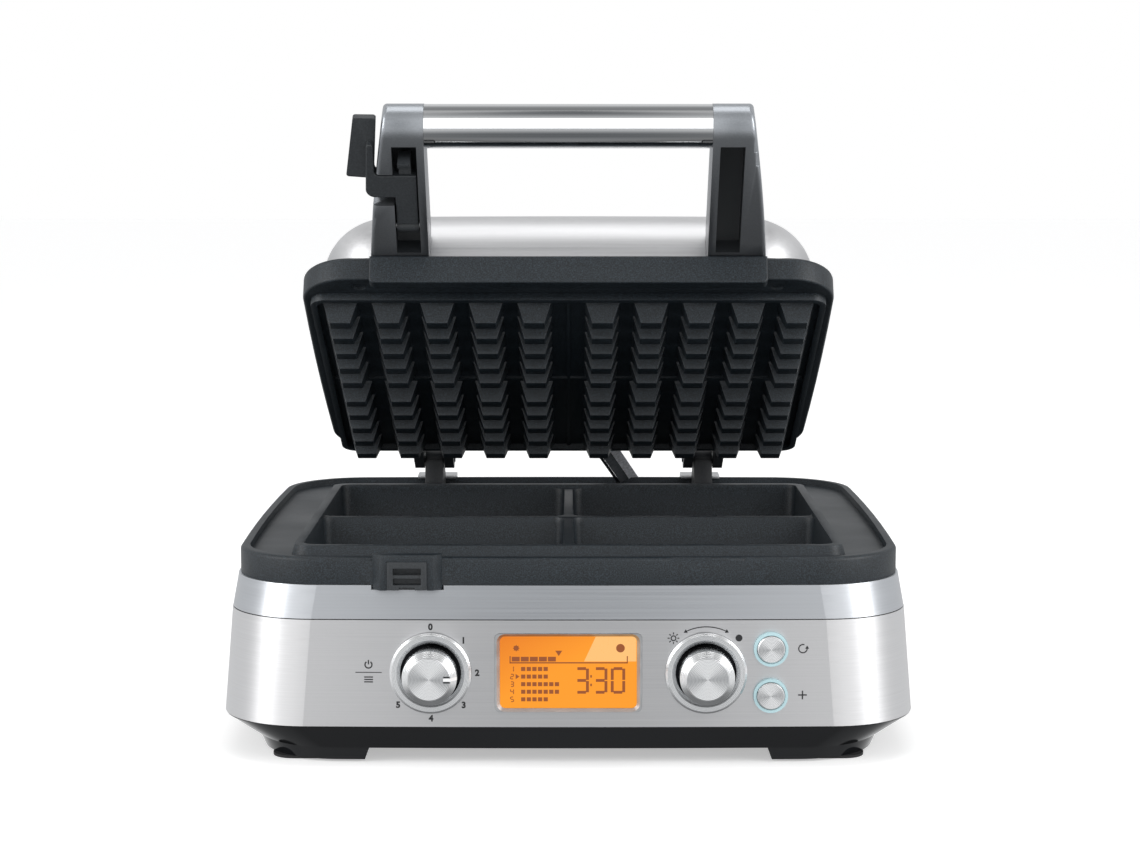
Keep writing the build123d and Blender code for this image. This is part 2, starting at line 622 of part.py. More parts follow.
with BuildPart() as upper_plate:
    with BuildSketch(level(LIP_Z, LIP_Y)):
        RectangleRounded(2 * LIP_HALF[0], 2 * LIP_HALF[1], 8.8)
    extrude(amount=LID_PLATE_Z - LIP_Z + LID_PLATE_T)
    with BuildSketch(level(LIP_Z - 1, LIP_Y)):
        RectangleRounded(2 * (LIP_HALF[0] - LIP_T), 2 * (LIP_HALF[1] - LIP_T), 6)
    extrude(amount=LID_PLATE_Z - LIP_Z + 1, mode=Mode.SUBTRACT)
    with BuildSketch(Plane(origin=(0, 0, LID_PLATE_Z), x_dir=(1, 0, 0), z_dir=(0, 0, -1))):
        with Locations(*[(x, -y) for x, y in tooth_centres(DIVIDER_Y)]):
            Rectangle(TOOTH[0], TOOTH[1])
    extrude(amount=TOOTH[2], taper=TOOTH_TAPER)
    slab((-0.9, 0.9), (LIP_Y - 107.5, LIP_Y + 107.5), (LID_PLATE_Z - 1.4, LID_PLATE_Z + 1))
    slab((-140, 140), (DIVIDER_Y - 0.9, DIVIDER_Y + 0.9), (LID_PLATE_Z - 1.4, LID_PLATE_Z + 1))
    for boss_x, boss_y in LID_BOSSES:
        upright(boss_x, boss_y, BOSS_R, LID_PLATE_Z + 3, 138.6)
        upright(boss_x, boss_y, 2, 130, 139, mode=Mode.SUBTRACT)
save_lid(upper_plate, "upper_plate")

with BuildPart() as upper_heating_element:
    with BuildLine():
        upper_line = FilletPolyline(*heater_path(122, -98, 28, 132.2, 62), radius=HEATER_BEND)
    with BuildSketch(Plane(origin=upper_line @ 0, z_dir=upper_line % 0)):
        Circle(HEATER_R)
    sweep()
save_lid(upper_heating_element, "upper_heating_element")

with BuildPart() as upper_heat_shield:
    slab((-120, 120), (-124, 56), (138.8, 139.8))
    for boss_x, boss_y in LID_BOSSES:
        upright(boss_x, boss_y, 2.2, 138, 141, mode=Mode.SUBTRACT)
save_lid(upper_heat_shield, "upper_heat_shield")

with BuildPart() as upper_plate_screws:
    for boss_x, boss_y in LID_BOSSES:
        upright(boss_x, boss_y, 1.95, 131, 139.9)
        upright(boss_x, boss_y, 4, 139.9, 142.6)
save_lid(upper_plate_screws, "upper_plate_screws")

with BuildPart() as upper_temperature_probe:
    upright(54, -34, 3.5, 128.6, 136)
save_lid(upper_temperature_probe, "upper_temperature_probe")

with BuildPart() as upper_thermal_fuse:
    cross_pin((-62, -40), -34, 131.4, 2.4)
save_lid(upper_thermal_fuse, "upper_thermal_fuse")

for side, hand in ((-1, "left"), (1, "right")):
    with BuildPart() as hinge_lugs:
        for offset_side in (-1, 1):
            inner_x = POST_T / 2 + LUG_GAP
            lug_low = side * POST_X + (inner_x if offset_side > 0 else -inner_x - LUG_T)
            with BuildSketch(side_plane(lug_low)):
                with BuildLine():
                    Polyline((88.1, 127), (HINGE_Y - 1, HINGE_Z - LUG_R), (HINGE_Y - 1, HINGE_Z + LUG_R),
                             (88.1, 138.4), close=True)
                make_face()
                with Locations((HINGE_Y, HINGE_Z)):
                    Circle(LUG_R)
            extrude(amount=LUG_T)
        half_span = POST_T / 2 + LUG_GAP + LUG_T
        slab((side * POST_X - half_span, side * POST_X + half_span), (88.1, 92.5), (127, 138.4))
        cross_pin((side * POST_X - 15, side * POST_X + 15), HINGE_Y, HINGE_Z,
                  HINGE_PIN_R + RUN_FIT, mode=Mode.SUBTRACT)
    save_lid(hinge_lugs, f"hinge_lugs_{hand}")

# ---------------------------------------------------------------- handle, drawn with the lid closed
# The arm's front face is the line from its root that touches the round end about the tube.
TO_TUBE = (TUBE_AT[0] - ARM_ROOT[0], TUBE_AT[1] - ARM_ROOT[1])
FACE_RISE = math.atan2(TO_TUBE[1], -TO_TUBE[0]) - math.asin(ARM_END_R / math.hypot(*TO_TUBE))
ARM_DIR = (-math.cos(FACE_RISE), math.sin(FACE_RISE))
ARM_OUT = (-math.sin(FACE_RISE), -math.cos(FACE_RISE))
ARM_LEN = math.sqrt(math.hypot(*TO_TUBE) ** 2 - ARM_END_R ** 2)


def arm_point(along, deep):
    """Place in the (Y, Z) plane: along the front face from the arm's root, and deep behind that face."""
    return (ARM_ROOT[0] + ARM_DIR[0] * along - ARM_OUT[0] * deep,
            ARM_ROOT[1] + ARM_DIR[1] * along - ARM_OUT[1] * deep)


def arm_block(along, deep, x_range, corner=0.0, mode=Mode.ADD):
    """Block that lies along the arm, between two distances along it and two depths behind its face."""
    corners = [arm_point(along[a], deep[b]) for a, b in ((0, 0), (1, 0), (1, 1), (0, 1))]
    with BuildSketch(side_plane(min(x_range))) as block:
        Polygon(*corners, align=None)
        if corner:
            fillet(block.vertices(), corner)
    extrude(block.sketch, amount=abs(x_range[1] - x_range[0]), mode=mode)


def arm_front(deep):
    """Drawing plane seen from the front of the arm: X across and the distance along the arm up."""
    return Plane(origin=(0, *arm_point(0, deep)), x_dir=(1, 0, 0), z_dir=(0, *ARM_OUT))


PIVOT = arm_point(PIVOT_S, PIVOT_DEEP)
RIM_FRONT_Y = LID_RIM_Y - LID_RIM_HALF[1]

with BuildPart() as handle_bracket:
    with BuildSketch(front_plane(0, RIM_FRONT_Y - 0.1, sum(BRACKET_Z) / 2)):
        Rectangle(2 * BRACKET_HALF_X, BRACKET_Z[1] - BRACKET_Z[0])
        fillet(vertices().group_by(Axis.Y)[0], 3)
    extrude(amount=RIM_FRONT_Y - 0.1 - BRACKET_FRONT_Y)
    fillet(handle_bracket.faces().sort_by(Axis.Y)[0].edges(), 1.0)
save_lid(handle_bracket, "handle_bracket")

BACK_RISE = math.atan2(TUBE_AT[1] - ARM_BACK[1], ARM_BACK[0] - TUBE_AT[0])
BACK_RISE += math.asin(ARM_END_R / math.dist(TUBE_AT, ARM_BACK))
BACK_TOUCH = (TUBE_AT[0] + ARM_END_R * math.sin(BACK_RISE), TUBE_AT[1] + ARM_END_R * math.cos(BACK_RISE))
RIM_STEP = (RIM_FRONT_Y - 0.2, LID_RIM_Z[1] + 0.3)

for side, hand in ((-1, "left"), (1, "right")):
    outer = [(side * x, along) for x, along in ARM_OUTER]
    with BuildPart() as handle_arm:
        with BuildSketch(side_plane(-120)):
            with BuildLine():
                Polyline(ARM_ROOT, arm_point(ARM_LEN, 0), TUBE_AT, BACK_TOUCH, ARM_BACK,
                         (ARM_BACK[0], RIM_STEP[1]), RIM_STEP, (RIM_STEP[0], ARM_ROOT[1]), close=True)
            make_face()
            with Locations(TUBE_AT):
                Circle(ARM_END_R)
        extrude(amount=240)
        with BuildSketch(arm_front(0)):
            with BuildLine():
                ThreePointArc(*outer)
                Polyline(outer[2], (side * ARM_IN_X, outer[2][1]), (side * ARM_IN_X, outer[0][1]), outer[0])
            make_face()
            fillet(vertices().sort_by(Axis.Y)[-2:].sort_by(Axis.X)[0 if side < 0 else -1], ARM_TOP_CORNER)
        extrude(amount=60, both=True, mode=Mode.INTERSECT)
        outer_face = handle_arm.faces().sort_by(Axis.X)[0 if side < 0 else -1]
        fillet(outer_face.edges().sort_by(Axis((0, 0, 0), (0, *ARM_OUT)))[-1], 2.4)
        arm_block(RECESS_S, (-8, RECESS_DEEP), (side * RECESS_X[0], side * RECESS_X[1]),
                  mode=Mode.SUBTRACT)
        cross_pin((-130, 130), *TUBE_AT, ROD_R + 0.1, mode=Mode.SUBTRACT)
        if side < 0:
            arm_block(NOTCH_S, (-8, RECESS_DEEP + 0.5), (-RECESS_X[1] + 0.5, -120), mode=Mode.SUBTRACT)
            cross_pin((-99.5, -77.5), *PIVOT, PIN_R + 0.02, mode=Mode.SUBTRACT)
    save_lid(handle_arm, f"handle_arm_{hand}")

with BuildPart() as handle_tube:
    cross_pin((-ARM_IN_X + 0.1, ARM_IN_X - 0.1), *TUBE_AT, TUBE_R)
    cross_pin((-ARM_IN_X, ARM_IN_X), *TUBE_AT, TUBE_R - TUBE_WALL, mode=Mode.SUBTRACT)
save_lid(handle_tube, "handle_tube")

with BuildPart() as handle_tube_plugs:
    for side in (-1, 1):
        ends = sorted((side * (ARM_IN_X - 0.2), side * (ARM_IN_X - 7)))
        cross_pin(ends, *TUBE_AT, TUBE_R - TUBE_WALL - 0.05)
    cross_pin((-ARM_IN_X, ARM_IN_X), *TUBE_AT, ROD_R + 0.1, mode=Mode.SUBTRACT)
save_lid(handle_tube_plugs, "handle_tube_plugs")

with BuildPart() as handle_tie_rod:
    cross_pin((-94, 94), *TUBE_AT, ROD_R)
save_lid(handle_tie_rod, "handle_tie_rod")

# ---------------------------------------------------------------- latch, drawn stowed in the left arm
with BuildPart() as latch_lever:
    with BuildSketch(arm_front(LEVER_DEEP[1])):
        with BuildLine():
            Polyline((LINK_X[0], BAR_LOW_S), (LEVER_X[0], BAR_LOW_S), (LEVER_X[0], LEVER_S[0]),
                     (LEVER_X[1], LEVER_S[0]), (LEVER_X[1], LEVER_S[1]), (LINK_X[1], LEVER_S[1]),
                     (LINK_X[1], LINK_TOP_S), (LINK_X[0] + 2, LINK_TOP_S), close=True)
        make_face()
        fillet(vertices().group_by(Axis.X)[0], 5)
        fillet(vertices().sort_by_distance((LINK_X[1], LEVER_S[1]))[0], 3)
        fillet(vertices().group_by(Axis.Y)[-1], 1.5)
    extrude(amount=LEVER_DEEP[1] - LEVER_DEEP[0])
    fillet(latch_lever.faces().sort_by(Axis((0, 0, 0), (0, *ARM_OUT)))[-1].edges(), 0.8)
    with BuildSketch(arm_front(PADDLE_DEEP[1])) as paddle:
        Polygon(*PADDLE, align=None)
        fillet(paddle.vertices(), 1.5)
    extrude(amount=PADDLE_DEEP[1] - PADDLE_DEEP[0])
    arm_block((PIVOT_S, LEVER_S[0] + 4), (PIVOT_DEEP - 2.6, PIVOT_DEEP + 2.6), LEVER_X)
    cross_pin(LEVER_X, *PIVOT, HUB_R)
    arm_block((LEVER_S[1] - 4, HOOK_END), HOOK_DEEP, HOOK_X)
    arm_block((HOOK_END - HOOK_T, HOOK_END), (HOOK_REACH, HOOK_DEEP[1]), HOOK_X)
    cross_pin((-100, -76), *PIVOT, PIN_R + RUN_FIT, mode=Mode.SUBTRACT)
save_lid(latch_lever, "latch_lever")

with BuildPart() as latch_pin:
    cross_pin((-99.4, -77.6), *PIVOT, PIN_R)
save_lid(latch_pin, "latch_pin")

# ---------------------------------------------------------------- power conduit from base to lid
CONDUIT_R = 5.5
with BuildPart() as power_conduit:
    with BuildLine():
        conduit_line = FilletPolyline((46, 172, 100), (42, 171.5, 120), (28.5, 134, 141), (22, 104, 149.5),
                                      radius=(12, 20))
    with BuildSketch(Plane(origin=conduit_line @ 0, z_dir=conduit_line % 0)):
        Circle(CONDUIT_R)
    sweep()
save(power_conduit, "power_conduit")
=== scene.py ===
import json
import math

import bmesh
import bpy
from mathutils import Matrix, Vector


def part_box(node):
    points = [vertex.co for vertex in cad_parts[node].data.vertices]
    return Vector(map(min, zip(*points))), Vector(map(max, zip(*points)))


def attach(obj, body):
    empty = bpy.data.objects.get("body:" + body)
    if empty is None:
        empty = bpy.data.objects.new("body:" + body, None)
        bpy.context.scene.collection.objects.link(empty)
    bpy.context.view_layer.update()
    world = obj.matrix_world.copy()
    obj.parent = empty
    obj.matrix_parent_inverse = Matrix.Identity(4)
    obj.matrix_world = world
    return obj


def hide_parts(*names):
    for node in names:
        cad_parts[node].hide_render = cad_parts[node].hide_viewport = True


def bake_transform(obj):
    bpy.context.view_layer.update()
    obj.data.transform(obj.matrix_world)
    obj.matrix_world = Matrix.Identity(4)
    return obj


# The looks of the waffle maker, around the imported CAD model. Everything is in metres.

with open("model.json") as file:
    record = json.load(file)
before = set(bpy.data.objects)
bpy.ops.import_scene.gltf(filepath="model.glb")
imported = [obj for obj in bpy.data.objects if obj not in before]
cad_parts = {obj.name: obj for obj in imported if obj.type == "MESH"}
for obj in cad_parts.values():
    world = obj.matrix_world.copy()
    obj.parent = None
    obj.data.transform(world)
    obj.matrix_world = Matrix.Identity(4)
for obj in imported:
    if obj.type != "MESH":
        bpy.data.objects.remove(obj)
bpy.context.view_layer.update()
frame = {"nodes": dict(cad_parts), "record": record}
nodes = frame["nodes"]
MM = 0.001


def box(node):
    """Lowest and highest corner of a CAD node."""
    low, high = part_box(node)
    return Vector(low), Vector(high)


def middle(node):
    """Centre of a CAD node's box."""
    low, high = box(node)
    return (low + high) / 2


# ---------------------------------------------------------------- material building

def add_node(tree, kind, **values):
    node = tree.nodes.new(kind)
    for name, value in values.items():
        setattr(node, name, value)
    return node


def add_ramp(tree, stops):
    """Colour ramp through (position, colour) stops."""
    ramp = add_node(tree, "ShaderNodeValToRGB")
    elements = ramp.color_ramp.elements
    while len(elements) < len(stops):
        elements.new(0.5)
    for element, (position, colour) in zip(elements, stops):
        element.position = position
        element.color = (*colour, 1.0)
    return ramp


class Finish:
    """A Principled material and the few node patterns that the finishes below are made of.

    Scales are repeats to the metre, and bump depths are in metres."""

    def __init__(self, name, colour, roughness, metallic=0.0, **constants):
        self.material = bpy.data.materials.new(name)
        self.material.use_nodes = True
        self.tree = self.material.node_tree
        self.shader = self.tree.nodes["Principled BSDF"]
        self.set("Base Color", (*colour, 1.0))
        self.set("Roughness", roughness)
        self.set("Metallic", metallic)
        for socket, value in constants.items():
            self.set(socket.replace("_", " "), value)

    def set(self, socket, value):
        self.shader.inputs[socket].default_value = value

    def add(self, kind, **values):
        return add_node(self.tree, kind, **values)

    def link(self, output, target):
        self.tree.links.new(output, target)

    def place(self, scale=(1, 1, 1), centre=(0, 0, 0), tilt=0.0):
        """The object's own coordinates, measured from centre, turned about X and scaled."""
        coordinates = self.add("ShaderNodeTexCoord")
        shift = self.add("ShaderNodeVectorMath", operation="SUBTRACT")
        shift.inputs[1].default_value = centre
        turn = self.add("ShaderNodeMapping")
        turn.inputs["Rotation"].default_value = (tilt, 0, 0)
        stretch = self.add("ShaderNodeMapping")
        stretch.inputs["Scale"].default_value = scale
        self.link(coordinates.outputs["Object"], shift.inputs[0])
        self.link(shift.outputs["Vector"], turn.inputs["Vector"])
        self.link(turn.outputs["Vector"], stretch.inputs["Vector"])
        return stretch.outputs["Vector"]

    def noise(self, where, scale=1.0, detail=3.0):
        noise = self.add("ShaderNodeTexNoise")
        noise.inputs["Scale"].default_value = scale
        noise.inputs["Detail"].default_value = detail
        self.link(where, noise.inputs["Vector"])
        return noise.outputs["Fac"]

    def rings(self, where, scale):
        wave = self.add("ShaderNodeTexWave", wave_type="RINGS", rings_direction="Y")
        wave.inputs["Scale"].default_value = scale
        wave.inputs["Distortion"].default_value = 0.6
        self.link(where, wave.inputs["Vector"])
        return wave.outputs["Fac"]

    def spread(self, value, low, high, start=0.3, end=0.7):
        """A pattern's values from start to end, spread over low to high."""
        span = self.add("ShaderNodeMapRange")
        for socket, number in (("From Min", start), ("From Max", end), ("To Min", low), ("To Max", high)):
            span.inputs[socket].default_value = number
        self.link(value, span.inputs["Value"])
        return span.outputs["Result"]

    def colours(self, value, *stops):
        """Base colour from a ramp of (position, colour) over a pattern."""
        ramp = add_ramp(self.tree, stops)
        self.link(value, ramp.inputs["Fac"])
        self.link(ramp.outputs["Color"], self.shader.inputs["Base Color"])

    def cover(self, mask, colour):
        """Lays a colour over the base colour where mask is 1."""
        mix = self.add("ShaderNodeMix", data_type="RGBA")
        mix.inputs["B"].default_value = (*colour, 1.0)
        under = self.shader.inputs["Base Color"].links[0].from_socket
        self.link(mask, mix.inputs["Factor"])
        self.link(under, mix.inputs["A"])
        self.link(mix.outputs["Result"], self.shader.inputs["Base Color"])

    def maths(self, operation, *values):
        """Result of a maths node over sockets and numbers."""
        node = self.add("ShaderNodeMath", operation=operation)
        for socket, value in zip(node.inputs, values):
            if isinstance(value, (int, float)):
                socket.default_value = value
            else:
                self.link(value, socket)
        return node.outputs["Value"]

    def along(self, where, axis):
        """How far a place is along an axis."""
        product = self.add("ShaderNodeVectorMath", operation="DOT_PRODUCT")
        product.inputs[1].default_value = axis
        self.link(where, product.inputs[0])
        return product.outputs["Value"]

    def roughen(self, value, low, high):
        self.link(self.spread(value, low, high), self.shader.inputs["Roughness"])

    def bump(self, value, depth, strength=1.0):
        bump = self.add("ShaderNodeBump")
        bump.inputs["Strength"].default_value = strength
        bump.inputs["Distance"].default_value = depth
        self.link(value, bump.inputs["Height"])
        self.link(bump.outputs["Normal"], self.shader.inputs["Normal"])

    def tangent(self, axis):
        """Grain that runs round an axis, or straight along X where axis is None."""
        if axis:
            tangent = self.add("ShaderNodeTangent", direction_type="RADIAL", axis=axis)
            direction = tangent.outputs["Tangent"]
        else:
            straight = self.add("ShaderNodeCombineXYZ")
            straight.inputs["X"].default_value = 1
            direction = straight.outputs["Vector"]
        self.link(direction, self.shader.inputs["Tangent"])


def shade(colour, factor):
    return tuple(channel * factor for channel in colour)


def brushed(name, colour, roughness, grain, tilt=0.0, hold=0.75, axis="Z"):
    """Sheet metal with a drawn grain; hold is how much the gloss spreads across the grain."""
    finish = Finish(name, colour, roughness, 1.0, Anisotropic=hold, Anisotropic_Rotation=0.25)
    finish.tangent(axis)
    fine = finish.noise(finish.place(grain, tilt=tilt), detail=4.0)
    finish.colours(fine, (0.3, shade(colour, 0.93)), (0.7, colour))
    finish.roughen(fine, roughness - 0.05, roughness + 0.07)
    finish.bump(fine, 0.02 * MM, 0.35)
    return finish.material


def cast_coating():
    """Dark sandy non-stick coating on die castings."""
    dark, light = (0.003, 0.0055, 0.0080), (0.024, 0.036, 0.047)
    finish = Finish("cast_coating", dark, 0.5, Specular_IOR_Level=0.5)
    where = finish.place()
    sand = finish.noise(where, 1500, 2.0)
    finish.colours(sand, (0.38, dark), (0.60, shade(light, 0.62)), (0.72, light))
    finish.roughen(finish.noise(where, 14, 3.0), 0.42, 0.56)
    finish.bump(sand, 0.12 * MM, 0.55)
    return finish.material


def gloss_black():
    finish = Finish("gloss_black", (0.010, 0.011, 0.013), 0.16, Coat_Weight=0.5, Coat_Roughness=0.06)
    where = finish.place()
    finish.roughen(finish.noise(where, 30, 5.0), 0.12, 0.24)
    finish.bump(finish.noise(where, 60, 2.0), 0.05 * MM, 0.15)
    return finish.material


def rubber():
    finish = Finish("rubber", (0.014, 0.014, 0.015), 0.8)
    grain = finish.noise(finish.place(), 1200, 3.0)
    finish.colours(grain, (0.35, (0.010, 0.010, 0.011)), (0.7, (0.022, 0.022, 0.023)))
    finish.bump(grain, 0.2 * MM, 0.4)
    return finish.material


def polished_tube():
    finish = Finish("polished_steel", (0.80, 0.81, 0.82), 0.09, 1.0)
    drawn = finish.noise(finish.place((3, 1600, 1600)), detail=2.0)
    finish.roughen(drawn, 0.06, 0.13)
    finish.bump(drawn, 0.006 * MM, 0.25)
    return finish.material


def turned(name, centre, colour, roughness, hold, turn=0.25, bore=0.0):
    """Metal turned or spun about the dial's own centre, with rings in its face and painted shade darkening it
    within the bore radius.
    """
    finish = Finish(name, colour, roughness, 1.0, Anisotropic=hold, Anisotropic_Rotation=turn)
    finish.tangent("Y")
    rings = finish.rings(finish.place((1, 0, 1), centre), 420)
    finish.colours(rings, (0.2, shade(colour, 0.86)), (0.8, colour))
    finish.roughen(rings, roughness - 0.04, roughness + 0.06)
    finish.bump(rings, 0.02 * MM, 0.3)
    if bore:
        # painted shade: dark within the bore, between the bezel and the knob
        radius = finish.add("ShaderNodeVectorMath", operation="LENGTH")
        finish.link(finish.place((1, 0, 1), centre), radius.inputs[0])
        finish.cover(finish.maths("LESS_THAN", radius.outputs["Value"], bore), (0.015, 0.016, 0.018))
    return finish.material


# the handle's arms at rest: they lean forward, and their recesses open in the front face
ARM_LEAN = math.radians(35.03)
ARM_ALONG = Vector((0, -math.sin(ARM_LEAN), math.cos(ARM_LEAN)))
ARM_FACE = Vector((0, -math.cos(ARM_LEAN), -math.sin(ARM_LEAN)))
ARM_ROOT = middle("handle_tube") - ARM_ALONG * 77.8 * MM + ARM_FACE * 12 * MM
# middle and half size of a recess along each direction, in millimetres from the root
RECESS_DEPTH = (-6.75, 5.75)
RECESS_LENGTH = (37.2, 36.2)
RECESS_X = (87.55, 6.9)


def cast_satin():
    """Satin metal paint on the handle's arms, darker towards their roots as a painted reflection of the dark
    parts below, with painted shade inside their recesses: dark, not metallic and rougher.
    """
    colour = (0.34, 0.36, 0.385)
    metallic, roughness = 0.85, 0.32
    finish = Finish("cast_satin", colour, roughness, metallic, Coat_Weight=0.15, Coat_Roughness=0.2)
    flake = finish.noise(finish.place(), 2600, 1.0)
    finish.bump(flake, 0.02 * MM, 0.25)
    from_root = finish.place(centre=ARM_ROOT)
    height = finish.along(from_root, ARM_ALONG)
    # painted reflection: darker towards the arms' roots, with a little random tone from the flakes
    flake_and_painted_reflection = finish.maths("ADD", finish.spread(height, 0.0, 0.8, 0.0, 0.1), finish.spread(flake, 0.0, 0.2))
    finish.colours(flake_and_painted_reflection, (0.05, shade(colour, 0.42)), (0.45, shade(colour, 0.62)), (0.95, shade(colour, 1.2)))
    measures = ((finish.along(from_root, ARM_FACE), RECESS_DEPTH), (height, RECESS_LENGTH),
                (finish.maths("ABSOLUTE", finish.along(from_root, (1, 0, 0))), RECESS_X))
    inside = 1.0
    for measure, (mid, half) in measures:
        inside = finish.maths("MULTIPLY", finish.maths("COMPARE", measure, mid * MM, half * MM), inside)
    # painted shade: the recesses are dark, not metallic and rougher inside
    finish.cover(inside, (0.018, 0.021, 0.024))
    finish.link(finish.spread(inside, metallic, 0.0, 0.0, 1.0), finish.shader.inputs["Metallic"])
    finish.link(finish.spread(inside, roughness, 0.5, 0.0, 1.0), finish.shader.inputs["Roughness"])
    return finish.material


def grained_plastic(name, colour, roughness=0.5, scale=1100):
    finish = Finish(name, colour, roughness, Specular_IOR_Level=0.45)
    grain = finish.noise(finish.place(), scale, 3.0)
    finish.colours(grain, (0.35, shade(colour, 0.8)), (0.7, shade(colour, 1.25)))
    finish.roughen(grain, roughness - 0.06, roughness + 0.08)
    finish.bump(grain, 0.06 * MM, 0.4)
    return finish.material


def plated(name, colour, roughness):
    finish = Finish(name, colour, roughness, 1.0)
    where = finish.place()
    cloud = finish.noise(where, 90, 4.0)
    finish.colours(cloud, (0.3, shade(colour, 0.8)), (0.7, colour))
    finish.roughen(cloud, roughness - 0.08, roughness + 0.1)
    finish.bump(finish.noise(where, 900, 2.0), 0.03 * MM, 0.3)
    return finish.material


def sleeve():
    """Woven glass sleeve with slanting strands."""
    finish = Finish("wire_sleeve", (0.62, 0.61, 0.57), 0.8)
    weave = finish.add("ShaderNodeTexWave", wave_type="BANDS", bands_direction="DIAGONAL")
    weave.inputs["Scale"].default_value = 260
    weave.inputs["Distortion"].default_value = 2.0
    finish.link(finish.place(), weave.inputs["Vector"])
    finish.colours(weave.outputs["Fac"], (0.2, (0.40, 0.39, 0.36)), (0.8, (0.70, 0.69, 0.65)))
    finish.bump(weave.outputs["Fac"], 0.3 * MM, 0.5)
    return finish.material


def circuit_board():
    finish = Finish("board_green", (0.02, 0.12, 0.05), 0.35)
    tracks = finish.add("ShaderNodeTexBrick")
    tracks.inputs["Scale"].default_value = 60
    for socket, colour in (("Color1", (0.02, 0.14, 0.06)), ("Color2", (0.02, 0.10, 0.045)),
                           ("Mortar", (0.10, 0.30, 0.12))):
        tracks.inputs[socket].default_value = (*colour, 1.0)
    tracks.inputs["Mortar Size"].default_value = 0.04
    finish.link(finish.place(), tracks.inputs["Vector"])
    finish.link(tracks.outputs["Color"], finish.shader.inputs["Base Color"])
    finish.bump(tracks.outputs["Fac"], 0.05 * MM, 0.4)
    return finish.material


def amber_window():
    """Backlit display, a little deeper in its upper left corner."""
    amber, deep = (1.0, 0.34, 0.018), (0.82, 0.21, 0.010)
    finish = Finish("amber_glass", amber, 0.3, Specular_IOR_Level=0.3, Emission_Strength=0.95)
    low, high = box("display_window")
    size = high - low
    across = finish.place((1 / size.x, 1, -1 / size.z), (low.x, 0, high.z))
    fade = finish.add("ShaderNodeTexGradient", gradient_type="DIAGONAL")
    turn = finish.add("ShaderNodeMapping")
    turn.inputs["Rotation"].default_value = (-math.pi / 2, 0, 0)
    finish.link(across, turn.inputs["Vector"])
    finish.link(turn.outputs["Vector"], fade.inputs["Vector"])
    finish.colours(fade.outputs["Fac"], (0.0, deep), (0.45, amber))
    glow = finish.shader.inputs["Base Color"].links[0]
    finish.link(glow.from_socket, finish.shader.inputs["Emission Color"])
    finish.tree.links.remove(glow)
    finish.set("Base Color", (0.06, 0.02, 0.004, 1.0))
    return finish.material


def light_ring():
    finish = Finish("light_ring", (0.42, 0.60, 0.64), 0.35, Emission_Strength=0.10,
                    Emission_Color=(0.70, 0.95, 1.0, 1.0))
    finish.roughen(finish.noise(finish.place(), 400, 2.0), 0.25, 0.4)
    return finish.material


def plain(name, colour, roughness, metallic=0.0, **constants):
    """A printed or moulded colour with a faint unevenness."""
    finish = Finish(name, colour, roughness, metallic, **constants)
    finish.roughen(finish.noise(finish.place(), 800, 2.0), roughness - 0.04, roughness + 0.06)
    return finish.material


# the lid's angle at rest, and the radius of the hole in a dial's bezel, within which the bezel is darkened as
# painted shade
LID_TILT = math.radians(29.4)
DIAL_BORE = 16.6 * MM

materials = {
    "brushed_steel": brushed("brushed_steel", (0.74, 0.74, 0.75), 0.34, (5, 5, 1500)),
    "satin_steel": brushed("satin_steel", (0.60, 0.62, 0.65), 0.36, (5, 5, 1100)),
    "cast_coating": cast_coating(),
    "gloss_black": gloss_black(),
    "rubber": rubber(),
    "polished_steel": polished_tube(),
    "cast_satin": cast_satin(),
    "latch_plastic": grained_plastic("latch_plastic", (0.030, 0.034, 0.038), 0.48),
    "amber_glass": amber_window(),
    "light_ring": light_ring(),
    "hinge_black": grained_plastic("hinge_black", (0.018, 0.020, 0.023), 0.42, 700),
    "zinc_plate": plated("zinc_plate", (0.62, 0.63, 0.64), 0.34),
    "heater_tube": plated("heater_tube", (0.22, 0.19, 0.17), 0.5),
    "board_green": circuit_board(),
    "part_grey": grained_plastic("part_grey", (0.10, 0.10, 0.11), 0.5, 600),
    "wire_sleeve": sleeve(),
    "conduit_metal": grained_plastic("conduit_metal", (0.82, 0.83, 0.87), 0.45, 500),
}
frame_steel = plated("frame_steel", (0.50, 0.51, 0.52), 0.42)
cover_steel = brushed("cover_steel", (0.66, 0.66, 0.67), 0.36, (5, 1300, 1300), LID_TILT, 0.6, None)

slots = {part["node"]: part["material_slot"] for part in frame["record"]["subparts"]}
for name, piece in nodes.items():
    slot = slots[name]
    if name == "lid_cover":
        finish = cover_steel
    elif name == "display_bezel":
        finish = frame_steel
    elif slot == "bezel_metal":
        bore = DIAL_BORE if name.startswith("dial_bezel") else 0.0
        finish = turned(f"turned_{name}", middle(name), (0.84, 0.85, 0.86), 0.20, 0.5, bore=bore)
    elif slot == "spun_metal":
        finish = turned(f"spun_{name}", middle(name), (0.80, 0.81, 0.82), 0.30, 0.9, 0.0)
    else:
        finish = materials[slot]
    piece.data.materials.clear()
    piece.data.materials.append(finish)


# ---------------------------------------------------------------- softened edges of CAD pieces

